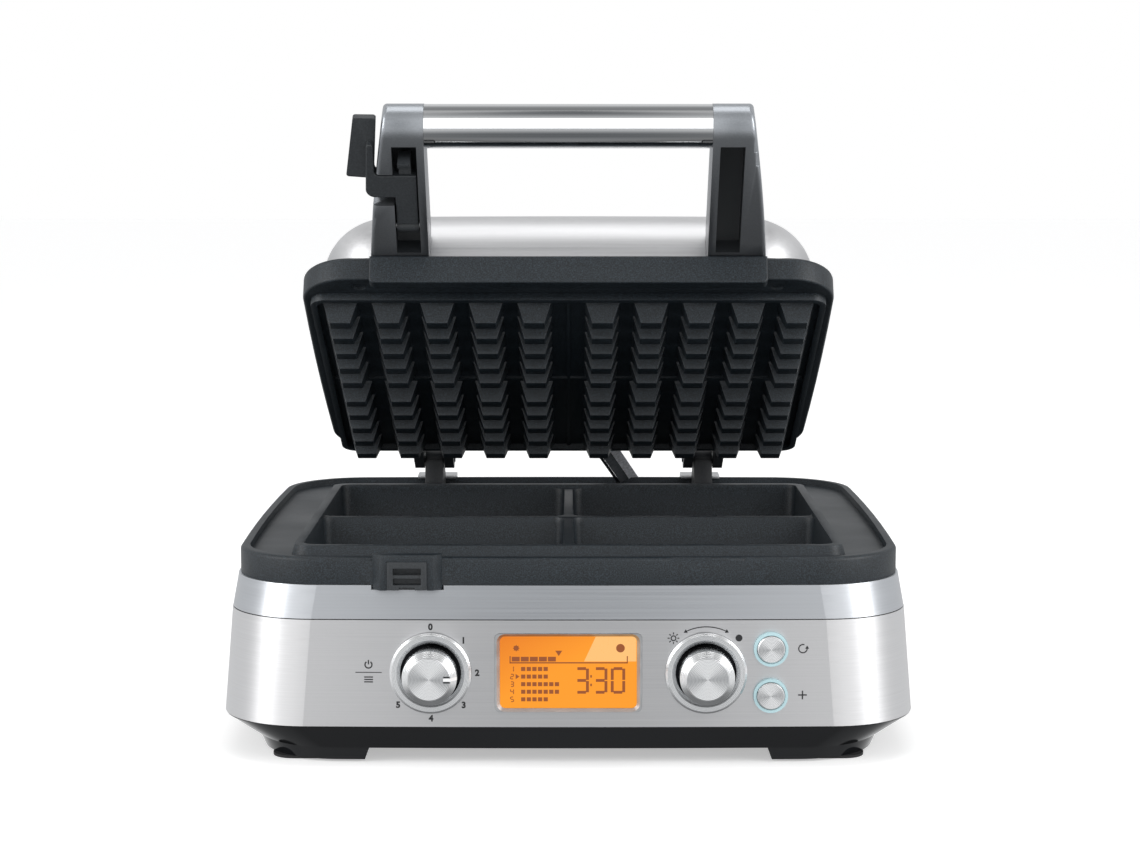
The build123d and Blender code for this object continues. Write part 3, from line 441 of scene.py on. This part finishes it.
def smooth_by_angle(limit):
    """Modifier group that smooths a mesh and keeps the edges that turn by more than limit sharp."""
    group = bpy.data.node_groups.new("smooth_by_angle", "GeometryNodeTree")
    group.interface.new_socket("Geometry", in_out="INPUT", socket_type="NodeSocketGeometry")
    group.interface.new_socket("Geometry", in_out="OUTPUT", socket_type="NodeSocketGeometry")
    start = group.nodes.new("NodeGroupInput")
    end = group.nodes.new("NodeGroupOutput")
    faces = group.nodes.new("GeometryNodeSetShadeSmooth")
    edges = group.nodes.new("GeometryNodeSetShadeSmooth")
    edges.domain = "EDGE"
    angle = group.nodes.new("GeometryNodeInputMeshEdgeAngle")
    flat = group.nodes.new("FunctionNodeCompare")
    flat.operation = "LESS_THAN"
    flat.inputs[1].default_value = limit
    forget = group.nodes.new("GeometryNodeRemoveAttribute")
    forget.inputs["Name"].default_value = "custom_normal"
    for output, target in ((start.outputs[0], forget.inputs["Geometry"]),
                           (forget.outputs[0], faces.inputs["Geometry"]),
                           (faces.outputs[0], edges.inputs["Geometry"]),
                           (angle.outputs["Unsigned Angle"], flat.inputs[0]),
                           (flat.outputs[0], edges.inputs["Shade Smooth"]),
                           (edges.outputs[0], end.inputs[0])):
        group.links.new(output, target)
    return group


SHARP = math.radians(38)
EDGE_SMOOTHING = smooth_by_angle(SHARP)
# width of the rounding on each piece, in millimetres
EDGE_ROUND = {
    "upper_plate": 0.7, "lower_plate": 0.6, "lid_rim": 0.9, "handle_arm_left": 0.5, "handle_arm_right": 0.5,
    "latch_lever": 0.35, "latch_catch": 0.35, "moat_rim": 0.35, "cord_gland": 0.4,
    "hinge_post_left": 0.5, "hinge_post_right": 0.5, "hinge_lugs_left": 0.5, "hinge_lugs_right": 0.5,
    "hinge_anchor_plates": 0.3,
}


def soften(piece, width):
    """Rounds a CAD piece's sharp edges a little, so that they catch the light."""
    weld = piece.modifiers.new("weld", "WELD")
    weld.merge_threshold = 0.004 * MM
    bevel = piece.modifiers.new("edge_round", "BEVEL")
    bevel.width = width * MM
    bevel.segments = 2
    bevel.limit_method = "ANGLE"
    bevel.angle_limit = SHARP
    smoothing = piece.modifiers.new("smoothing", "NODES")
    smoothing.node_group = EDGE_SMOOTHING


for name, width in EDGE_ROUND.items():
    soften(nodes[name], width)


# ---------------------------------------------------------------- new pieces

def add_object(name, data):
    holder = bpy.data.objects.new(name, data)
    bpy.context.scene.collection.objects.link(holder)
    return holder


def add_mesh(name, points, faces, material):
    mesh = bpy.data.meshes.new(name)
    mesh.from_pydata([tuple(point) for point in points], [], faces)
    mesh.materials.append(material)
    return add_object(name, mesh)


def mesh_piece(name, points, faces, material, body):
    """A new mesh piece that rides on a CAD body."""
    piece = add_mesh(name, points, faces, material)
    work = bmesh.new()
    work.from_mesh(piece.data)
    bmesh.ops.recalc_face_normals(work, faces=work.faces)
    work.to_mesh(piece.data)
    work.free()
    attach(piece, body)
    return piece


def plates(outlines, front, thickness):
    """Points and faces of flat plates. Each outline is (x, z) points, and front(x) is the face's y."""
    points, faces = [], []
    for outline in outlines:
        start, count = len(points), len(outline)
        points += [Vector((x, front(x), z)) for x, z in outline]
        points += [Vector((x, front(x) + thickness, z)) for x, z in outline]
        faces.append(list(range(start, start + count)))
        faces.append(list(range(start + count, start + 2 * count)))
        for i in range(count):
            j = (i + 1) % count
            faces.append([start + i, start + j, start + count + j, start + count + i])
    return points, faces


def arc_points(centre, radius, start, end, steps):
    """Points on an arc in the (x, z) plane, angles in degrees from +X towards +Z."""
    turns = [math.radians(start + (end - start) * i / steps) for i in range(steps + 1)]
    return [(centre[0] + radius * math.cos(t), centre[1] + radius * math.sin(t)) for t in turns]


def arc_band(centre, radius, width, start, end, steps=24):
    """Outline of a curved stroke."""
    outside = arc_points(centre, radius + width / 2, start, end, steps)
    inside = arc_points(centre, radius - width / 2, start, end, steps)
    return outside + inside[::-1]


def disc(centre, radius, steps=24):
    return arc_points(centre, radius, 0, 360 - 360 / steps, steps - 1)


def bar(x_low, x_high, z_low, z_high):
    return [(x_low, z_low), (x_high, z_low), (x_high, z_high), (x_low, z_high)]


def centred_bar(x, z, half_x, half_z):
    return bar(x - half_x, x + half_x, z - half_z, z + half_z)


def sun_rays(centre, near, far, half_width):
    """Eight short strokes round a point."""
    rays = []
    for i in range(8):
        turn = math.radians(45 * i)
        along = Vector((math.cos(turn), math.sin(turn)))
        across = Vector((-along.y, along.x)) * half_width
        inner, outer = Vector(centre) + along * near, Vector(centre) + along * far
        corners = (inner - across, outer - across, outer + across, inner + across)
        rays.append([tuple(corner) for corner in corners])
    return rays


ARROW_SPREAD = 32


def arrow_head(tip, heading, size):
    """Triangle with its tip at tip, pointing along heading in degrees."""
    corners = [tip]
    for side in (-1, 1):
        back = math.radians(heading + 180 + side * ARROW_SPREAD)
        corners.append((tip[0] + size * math.cos(back), tip[1] + size * math.sin(back)))
    return corners


# height of a figure in Blender's own font at a size of one
CAP_HEIGHT = 0.69


def glyph(text, height, centre, weight):
    """Flat outline mesh of a character as (x, z) points and faces, centred on a point.

    The outline is made at a size of one and brought down afterwards; weight is in that size."""
    curve = bpy.data.curves.new("glyph", "FONT")
    curve.body = text
    curve.size = 1
    curve.offset = weight
    curve.resolution_u = 3
    holder = add_object("glyph", curve)
    mesh = bpy.data.meshes.new_from_object(holder)
    scale = height / CAP_HEIGHT
    spots = [vertex.co * scale for vertex in mesh.vertices]
    faces = [list(polygon.vertices) for polygon in mesh.polygons]
    bpy.data.objects.remove(holder)
    bpy.data.meshes.remove(mesh)
    bpy.data.curves.remove(curve)
    mid_x = (min(p.x for p in spots) + max(p.x for p in spots)) / 2
    mid_y = (min(p.y for p in spots) + max(p.y for p in spots)) / 2
    return [(p.x - mid_x + centre[0], p.y - mid_y + centre[1]) for p in spots], faces


wrap_low, wrap_high = box("base_wrap")
# the wrap's front bows back by the square of x over this many metres
WRAP_BOW = 10.7
PRINT_PROUD = 0.12 * MM


def fascia(x):
    """Outside of the print on the front face of the base's steel wrap."""
    return wrap_low.y + x * x / WRAP_BOW - PRINT_PROUD


def print_marks(name, outlines, material, glyphs=(), front=fascia, thickness=0.1 * MM):
    """Print on the base: plates for the drawn marks and the filled outlines of characters."""
    points, faces = plates(outlines, front, thickness)
    for spots, fills in glyphs:
        start = len(points)
        points += [Vector((x, front(x), z)) for x, z in spots]
        faces += [[start + i for i in fill] for fill in fills]
    return mesh_piece(name, points, faces, material, "base")


ink = plain("print_black", (0.012, 0.012, 0.014), 0.45)
pointer_white = plain("pointer_white", (0.9, 0.9, 0.9), 0.35)
display_ink = plain("display_brown", (0.03, 0.008, 0.002), 0.6,
                    Emission_Color=(0.35, 0.085, 0.012, 1.0), Emission_Strength=0.8)
# painted reflection: a pale glow laid on the display window as glare
painted_glare = plain("display_glare", (0.05, 0.03, 0.02), 0.3,
                     Emission_Color=(1.0, 0.52, 0.16, 1.0), Emission_Strength=0.97)

dial_left = middle("dial_bezel_left")
dial_right = middle("dial_bezel_right")
DIAL_MARK_R = 25.4 * MM
MARK_H = 3.3 * MM
STROKE = 0.7 * MM
NUMBER_WEIGHT = 0.045

# numbers round the selector, from off at the top
numbers = []
for i in range(6):
    spot = arc_points((dial_left.x, dial_left.z), DIAL_MARK_R, 90 - 45 * i, 90 - 45 * i, 1)[0]
    numbers.append(glyph(str(i), MARK_H, spot, NUMBER_WEIGHT))
print_marks("selector_numbers", [], ink, numbers)

# power and menu icons left of the selector
icon_x, icon_z = dial_left.x - 34 * MM, dial_left.z
power_z = icon_z + 4.3 * MM
POWER_R = 1.9 * MM
power_marks = [
    arc_band((icon_x, power_z), POWER_R, STROKE, 125, 415, 30),
    centred_bar(icon_x, power_z + 1.4 * MM, STROKE / 2, 1.2 * MM),
    centred_bar(icon_x, icon_z, 7.2 * MM, 0.2 * MM),
]
for i in range(3):
    power_marks.append(centred_bar(icon_x, icon_z - (2.6 + 1.35 * i) * MM, 2.4 * MM, 0.3 * MM))
print_marks("power_menu_icons", power_marks, ink)

# light and dark icons with the double arrow over the browning dial
arc_centre = (dial_right.x, dial_right.z)
ARROW_FROM, ARROW_TO = 116, 64
browning_marks = [arc_band(arc_centre, DIAL_MARK_R, 0.5 * MM, ARROW_FROM, ARROW_TO)]
for turn, heading in ((ARROW_FROM + 3, ARROW_FROM + 92), (ARROW_TO - 3, ARROW_TO - 92)):
    tip = arc_points(arc_centre, DIAL_MARK_R, turn, turn, 1)[0]
    browning_marks.append(arrow_head(tip, heading, 2.2 * MM))
light_spot = arc_points(arc_centre, DIAL_MARK_R + 0.8 * MM, 133, 133, 1)[0]
dark_spot = arc_points(arc_centre, DIAL_MARK_R + 0.8 * MM, 47, 47, 1)[0]
for half in (0, 180):
    browning_marks.append(arc_band(light_spot, 1.3 * MM, 0.6 * MM, half, half + 180, 12))
browning_marks += sun_rays(light_spot, 2.1 * MM, 3.2 * MM, 0.28 * MM)
browning_marks.append(disc(dark_spot, 1.9 * MM))
print_marks("browning_icons", browning_marks, ink)

# restart and more icons beside their buttons
LABEL_DX = 17.5 * MM
ICON_R = 2.3 * MM
restart = middle("restart_button")
restart.x += LABEL_DX
button_marks = [arc_band((restart.x, restart.z), ICON_R, 0.6 * MM, 70, 360, 30),
                arrow_head((restart.x + ICON_R, restart.z + 1.7 * MM), 90, 2.0 * MM)]
more = middle("more_button")
more.x += LABEL_DX
PLUS_REACH, PLUS_HALF = 2.4 * MM, 0.35 * MM
button_marks.append(centred_bar(more.x, more.z, PLUS_REACH, PLUS_HALF))
for side in (-1, 1):
    middle_z = more.z + side * (PLUS_REACH + PLUS_HALF) / 2
    button_marks.append(centred_bar(more.x, middle_z, PLUS_HALF, (PLUS_REACH - PLUS_HALF) / 2))
print_marks("button_icons", button_marks, ink)

# ---------------------------------------------------------------- display graphics
window_low, window_high = box("display_window")
window_size = window_high - window_low


def on_display(u, v):
    """Place on the window: u from its left edge and v from its top edge, as shares of its size."""
    return (window_low.x + u * window_size.x, window_high.z - v * window_size.z)


def proud_of_window(distance):
    """A flat face, as print_marks asks for it, in front of the window."""
    return lambda x: window_low.y - distance


def display_bar(u_low, u_high, v_low, v_high):
    (x_low, z_high), (x_high, z_low) = on_display(u_low, v_low), on_display(u_high, v_high)
    return bar(x_low, x_high, z_low, z_high)


def seven_segments(digit, u, v, wide, tall, stroke):
    """Bars of one seven segment digit with its upper left corner at u, v."""
    lit = {0: "abcdef", 1: "bc", 2: "abged", 3: "abgcd", 4: "fgbc", 5: "afgcd"}[digit]
    right, half = u + wide, v + tall / 2
    up = stroke * window_size.x / window_size.z
    gap = up * 0.2
    bars = {
        "a": (u + stroke, right - stroke, v, v + up),
        "g": (u + stroke, right - stroke, half - up / 2, half + up / 2),
        "d": (u + stroke, right - stroke, v + tall - up, v + tall),
        "f": (u, u + stroke, v + up / 2, half - gap),
        "b": (right - stroke, right, v + up / 2, half - gap),
        "e": (u, u + stroke, half + gap, v + tall - up / 2),
        "c": (right - stroke, right, half + gap, v + tall - up / 2),
    }
    return [display_bar(*bars[letter]) for letter in lit]


# light and dark icons over the scale
DISPLAY_ICON_V = 0.165
light_spot = on_display(0.12, DISPLAY_ICON_V)
marks = [disc(light_spot, 0.035 * window_size.z, 16)]
marks += sun_rays(light_spot, 1.1 * MM, 1.8 * MM, 0.2 * MM)
marks.append(disc(on_display(0.88, DISPLAY_ICON_V), 0.06 * window_size.z, 16))

# browning scale with five lit cells and an arrow over it
SCALE_LEFT, SCALE_RIGHT, SCALE_V = 0.075, 0.93, 0.36
SCALE_LINE = 0.018
marks.append(display_bar(SCALE_LEFT, SCALE_RIGHT, SCALE_V, SCALE_V + SCALE_LINE))
for end in (SCALE_LEFT, SCALE_RIGHT):
    marks.append(display_bar(end - 0.004, end + 0.004, SCALE_V - 0.085, SCALE_V + SCALE_LINE))
for i in range(5):
    left = SCALE_LEFT + 0.012 + 0.066 * i
    marks.append(display_bar(left, left + 0.058, SCALE_V - 0.075, SCALE_V - 0.01))
marks.append([on_display(0.405, SCALE_V - 0.16), on_display(0.455, SCALE_V - 0.16),
              on_display(0.43, SCALE_V - 0.085)])

# numbered rows of blocks, with an arrow at the second
ROW_V, ROW_STEP = 0.455, 0.106
ROW_BLOCKS = (5, 5, 7, 7, 5)
for i, blocks in enumerate(ROW_BLOCKS):
    row = ROW_V + ROW_STEP * i
    marks += seven_segments(i + 1, 0.075, row - 0.039, 0.028, 0.078, 0.0065)
    for step in range(blocks):
        left = 0.155 + 0.041 * step
        marks.append(display_bar(left, left + 0.031, row - 0.028, row + 0.028))
chosen = ROW_V + ROW_STEP
marks.append([on_display(0.115, chosen - 0.036), on_display(0.115, chosen + 0.036),
              on_display(0.143, chosen)])

# time left
for digit, left in ((3, 0.545), (3, 0.68), (0, 0.81)):
    marks += seven_segments(digit, left, 0.43, 0.105, 0.37, 0.021)
for v in (0.54, 0.66):
    marks.append(display_bar(0.66, 0.672, v, v + 0.035))
print_marks("display_marks", marks, display_ink, front=proud_of_window(0.12 * MM), thickness=0.08 * MM)

# painted reflection: a glowing pale glare in the upper right corner of the window
GLARE_TOP, GLARE_RIGHT, GLARE_LOW = 0.004, 0.996, SCALE_V - 0.01
glare = [on_display(0.70, GLARE_TOP), on_display(GLARE_RIGHT, GLARE_TOP),
         on_display(GLARE_RIGHT, GLARE_LOW), on_display(0.615, GLARE_LOW)]
print_marks("display_painted_reflection", [glare], painted_glare, front=proud_of_window(0.04 * MM), thickness=0.03 * MM)

# ---------------------------------------------------------------- selector pointer
cap_low, cap_high = box("selector_knob_cap")
knob_low, knob_high = box("selector_knob")
cap_mid = middle("selector_knob_cap")
CAP_R = cap_high.x - cap_mid.x
KNOB_R = knob_high.x - cap_mid.x
CHAMFER = KNOB_R - CAP_R


def pointer_strip(name, reaches, offset, half_width, material):
    """A strip from the knob's face over its slanted edge; reaches are (radius, y) along it."""
    points, faces = [], []
    for radius, y in reaches:
        points.append(Vector((cap_mid.x + radius, y, cap_mid.z + offset - half_width)))
        points.append(Vector((cap_mid.x + radius, y, cap_mid.z + offset + half_width)))
    for i in range(len(reaches) - 1):
        faces.append([2 * i, 2 * i + 1, 2 * i + 3, 2 * i + 2])
    strip = mesh_piece(name, points, faces, material, "selector_dial")
    wall = strip.modifiers.new("thickness", "SOLIDIFY")
    wall.thickness = 0.03 * MM
    wall.offset = 0
    return strip


POINTER_FROM = 0.66 * CAP_R
FACE_Y = cap_low.y - 0.02 * MM
EDGE_Y = knob_low.y - 0.1 * MM
over_edge = [(POINTER_FROM, FACE_Y), (CAP_R, FACE_Y), (CAP_R + 0.2 * MM, EDGE_Y),
             (KNOB_R + 0.05 * MM, EDGE_Y + CHAMFER)]
pointer_strip("selector_pointer", over_edge, 0, 0.85 * MM, pointer_white)
for side, hand in ((-1, "lower"), (1, "upper")):
    pointer_strip(f"selector_pointer_edge_{hand}", [(POINTER_FROM, FACE_Y), (CAP_R - 0.3 * MM, FACE_Y)],
                  side * 1.45 * MM, 0.42 * MM, ink)

# ---------------------------------------------------------------- handle tube's end tabs
tube_low, tube_high = box("handle_tube")
tube_mid = middle("handle_tube")
tube_r = (tube_high.z - tube_low.z) / 2
tube_end = tube_high.x - 0.2 * MM
# where the tabs are round the tube, down from its front
TAB_TURN = math.radians(-44)


def rounded_bar(length, half, steps=8):
    """Outline of a bar with one round end, from 0 to length."""
    round_end = arc_points((length - half, 0), half, -90, 90, steps)
    return [(0, -half)] + round_end + [(0, half)]


for side, hand in ((-1, "left"), (1, "right")):
    for name, grow, lift, material in (("slot", 0.5, 0.05, ink), ("tab", 0.0, 0.12, materials["zinc_plate"])):
        outline = rounded_bar((5.4 + grow) * MM, (0.75 + grow) * MM)
        points = []
        for along, around in outline:
            turn = TAB_TURN + around / tube_r
            reach = tube_r + lift * MM
            points.append(Vector((side * (tube_end - along), tube_mid.y - reach * math.cos(turn),
                                  tube_mid.z + reach * math.sin(turn))))
        mesh_piece(f"tube_{name}_{hand}", points, [list(range(len(points)))], material, "lid")

# ---------------------------------------------------------------- flexible conduit at the rear
conduit_low, conduit_high = box("power_conduit")
CHANNEL = 6.2 * MM
RINGS = 9
BOW = 2.0 * MM


def conduit():
    """Two flat metal channels side by side with a wire beside them, from the base up to the lid."""
    foot = Vector((conduit_high.x - 7 * MM, conduit_high.y - 7 * MM, conduit_low.z + 9 * MM))
    head = Vector((conduit_low.x + 3.5 * MM, conduit_low.y - 8 * MM, conduit_high.z - 4 * MM))
    run = (head - foot).normalized()
    across = Vector((0, 1, 0)).cross(run).normalized()
    up = run.cross(across)
    # painted shade: the low channel is the conduit's light metal coloured dark as if in shadow
    shadowed = grained_plastic("conduit_shadowed", (0.16, 0.17, 0.185), 0.45, 500)
    strips = (("conduit_channel_low", -CHANNEL / 2, CHANNEL * 0.47, 2.4 * MM, shadowed),
              ("conduit_channel_high", CHANNEL / 2, CHANNEL * 0.47, 3.2 * MM, materials["conduit_metal"]),
              ("conduit_seam", 0, 0.5 * MM, 2.0 * MM, ink),
              ("conduit_wire", -CHANNEL * 1.16, 0.9 * MM, 1.2 * MM, materials["hinge_black"]))
    made = {}
    for name, offset, half, tall, material in strips:
        points, faces = [], []
        for i in range(RINGS):
            share = i / (RINGS - 1)
            spot = foot.lerp(head, share) + across * offset + up * math.sin(math.pi * share) * BOW
            for a, b in ((-1, -1), (1, -1), (1, 1), (-1, 1)):
                points.append(spot + across * half * a + up * tall * b / 2)
        for i in range(RINGS - 1):
            for j in range(4):
                k = (j + 1) % 4
                faces.append([4 * i + j, 4 * i + k, 4 * i + 4 + k, 4 * i + 4 + j])
        faces += [[0, 1, 2, 3], [4 * (RINGS - 1) + j for j in range(4)]]
        made[name] = add_mesh(name, points, faces, material)
        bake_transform(made[name])
    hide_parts("power_conduit")


conduit()


def socket():
    """Socket on the base's rear that the conduit comes out of, with a slanted top."""
    left, right = conduit_high.x - 18 * MM, conduit_high.x + 5 * MM
    floor, front_top, rear_top = (conduit_low.z + rise * MM for rise in (-15, 14.6, 9.6))
    wall = wrap_high.y + 0.2 * MM
    outside = wall + 11.6 * MM
    front_lip, rear_lip = wall - 2.4 * MM, outside - 0.5 * MM
    taper = 2 * MM
    points = [Vector(corner) for corner in (
        (left, wall, floor), (right, wall, floor), (right, outside, floor), (left, outside, floor),
        (left + taper, front_lip, front_top), (right - taper, front_lip, front_top),
        (right - taper, rear_lip, rear_top), (left + taper, rear_lip, rear_top))]
    faces = [[0, 1, 2, 3], [4, 5, 6, 7]] + [[i, (i + 1) % 4, 4 + (i + 1) % 4, 4 + i] for i in range(4)]
    piece = mesh_piece("conduit_socket", points, faces, materials["hinge_black"], "base")
    rounding = piece.modifiers.new("edge_round", "BEVEL")
    rounding.width = 1.2 * MM
    rounding.segments = 3


socket()

# ---------------------------------------------------------------- floor, light and camera

FLOOR_REACH = 9.0


def studio_floor():
    """Pale floor that doesn't show in the metal."""
    white = Finish("floor_white", (0.80, 0.80, 0.80), 0.75, Specular_IOR_Level=0.1,
                   Emission_Color=(1, 1, 1, 1), Emission_Strength=0.42)
    corners = [(x * FLOOR_REACH, y * FLOOR_REACH, 0) for x, y in ((-1, -1), (1, -1), (1, 1), (-1, 1))]
    floor = add_mesh("floor", corners, [(0, 1, 2, 3)], white.material)
    floor.visible_glossy = False
    floor.visible_diffuse = False


def soft_light(name, place, aim, size, power):
    """A rectangular soft box that faces aim; its size is in metres and its power in watts."""
    lamp = bpy.data.lights.new(name, "AREA")
    lamp.shape = "RECTANGLE"
    lamp.size, lamp.size_y = size
    lamp.energy = power
    holder = add_object(name, lamp)
    holder.location = place
    holder.rotation_euler = (Vector(place) - Vector(aim)).to_track_quat("Z", "Y").to_euler()
    return holder


# (degrees away from the front, share of the bright walls)
WALL_SHARES = ((0, 0.0), (2.5, 0.04), (6, 0.28), (9, 0.62), (14, 0.95), (70, 1.0), (95, 0.5), (180, 0.32))
# (share of the height from straight down to straight up, grey, blue added to it)
GAP_SHADES = ((0.0, 0.20, 0.01), (0.08, 0.09, 0.01), (0.18, 0.09, 0.01), (0.33, 0.38, 0.01),
              (0.42, 0.34, 0.015), (0.50, 0.15, 0.02), (0.60, 0.15, 0.02), (0.76, 0.34, 0.01),
              (0.86, 0.40, 0.01), (0.96, 0.10, 0.01), (1.0, 0.08, 0.01))
WALL_SHADES = ((0.0, 0.10, 0.0), (0.16, 0.30, 0.0), (0.30, 0.75, 0.0), (0.45, 0.95, 0.0), (0.70, 1.0, 0.0),
               (0.88, 0.6, 0.0), (1.0, 0.35, 0.0))
ROOM_LIGHT = 1.35


def studio_world():
    """White studio all round, with a grey gap straight ahead between two bright walls.

    The camera itself sees plain white."""
    world = bpy.data.worlds.new("studio")
    bpy.context.scene.world = world
    world.use_nodes = True
    tree = world.node_tree
    background = tree.nodes["Background"]

    def add(kind, **values):
        return add_node(tree, kind, **values)

    def shades(stops):
        tones = [(position, (grey, grey + blue / 2, grey + blue)) for position, grey, blue in stops]
        return add_ramp(tree, tones)

    where = add("ShaderNodeTexCoord")
    level = add("ShaderNodeVectorMath", operation="MULTIPLY")
    level.inputs[1].default_value = (1, 1, 0)
    heading = add("ShaderNodeVectorMath", operation="NORMALIZE")
    ahead = add("ShaderNodeVectorMath", operation="DOT_PRODUCT")
    ahead.inputs[1].default_value = (0, -1, 0)
    turn = add("ShaderNodeMath", operation="ARCCOSINE")
    swing = add("ShaderNodeMapRange")
    swing.inputs["From Max"].default_value = math.pi
    sides = shades([(degrees / 180, share, 0.0) for degrees, share in WALL_SHARES])
    split = add("ShaderNodeSeparateXYZ")
    rise = add("ShaderNodeMapRange")
    rise.inputs["From Min"].default_value = -1
    gap = shades(GAP_SHADES)
    walls = shades(WALL_SHADES)
    room = add("ShaderNodeMix", data_type="RGBA")
    stronger = add("ShaderNodeVectorMath", operation="SCALE")
    stronger.inputs["Scale"].default_value = ROOM_LIGHT
    path = add("ShaderNodeLightPath")
    seen = add("ShaderNodeMix", data_type="RGBA")
    seen.inputs["B"].default_value = (1, 1, 1, 1)
    for output, target in ((where.outputs["Generated"], level.inputs[0]),
                           (level.outputs["Vector"], heading.inputs[0]),
                           (heading.outputs["Vector"], ahead.inputs[0]),
                           (ahead.outputs["Value"], turn.inputs[0]),
                           (turn.outputs["Value"], swing.inputs["Value"]),
                           (swing.outputs["Result"], sides.inputs["Fac"]),
                           (where.outputs["Generated"], split.inputs[0]),
                           (split.outputs["Z"], rise.inputs["Value"]),
                           (rise.outputs["Result"], gap.inputs["Fac"]),
                           (rise.outputs["Result"], walls.inputs["Fac"]),
                           (sides.outputs["Color"], room.inputs["Factor"]),
                           (gap.outputs["Color"], room.inputs["A"]),
                           (walls.outputs["Color"], room.inputs["B"]),
                           (room.outputs["Result"], stronger.inputs[0]),
                           (path.outputs["Is Camera Ray"], seen.inputs["Factor"]),
                           (stronger.outputs["Vector"], seen.inputs["A"]),
                           (seen.outputs["Result"], background.inputs["Color"])):
        tree.links.new(output, target)


def only(lamp, state, *pieces):
    """With INCLUDE the lamp lights these pieces and nothing else, with EXCLUDE everything but them."""
    linked = bpy.data.collections.new(f"{lamp.name}_pieces")
    for name in pieces:
        linked.objects.link(nodes[name])
    lamp.light_linking.receiver_collection = linked
    for entry in linked.collection_objects:
        entry.light_linking.link_state = state


# in front of the waffle maker and looking a little down; lens and sensor in millimetres
CAMERA_AT = (0.0009, -1.478, 0.343)
CAMERA_PITCH = 6.739
LENS = 77.37
SENSOR = 36


def front_camera():
    lens = bpy.data.cameras.new("camera")
    lens.lens = LENS
    lens.sensor_width = SENSOR
    lens.clip_start = 0.05
    lens.clip_end = 60
    camera = add_object("camera", lens)
    camera.location = CAMERA_AT
    camera.rotation_euler = (math.radians(90 - CAMERA_PITCH), 0, 0)
    bpy.context.scene.camera = camera


studio_floor()
studio_world()
AIM = (0, 0, 0.15)
for side, hand in ((-1, "left"), (1, "right")):
    soft_light(f"softbox_{hand}", (side * 1.5, -0.8, 0.8), AIM, size=(0.8, 1.2), power=11)
top_light = soft_light("softbox_top", (0, 0.1, 1.9), AIM, size=(1.5, 1.0), power=9)
tube_light = soft_light("tube_softbox", (0, -1.13, 0.61), tube_mid, size=(2.6, 1.0), power=9)
only(tube_light, "INCLUDE", "handle_tube")
only(top_light, "EXCLUDE", "handle_tube")
front_camera()
view = bpy.context.scene.view_settings
view.view_transform = "Standard"
view.look = "None"
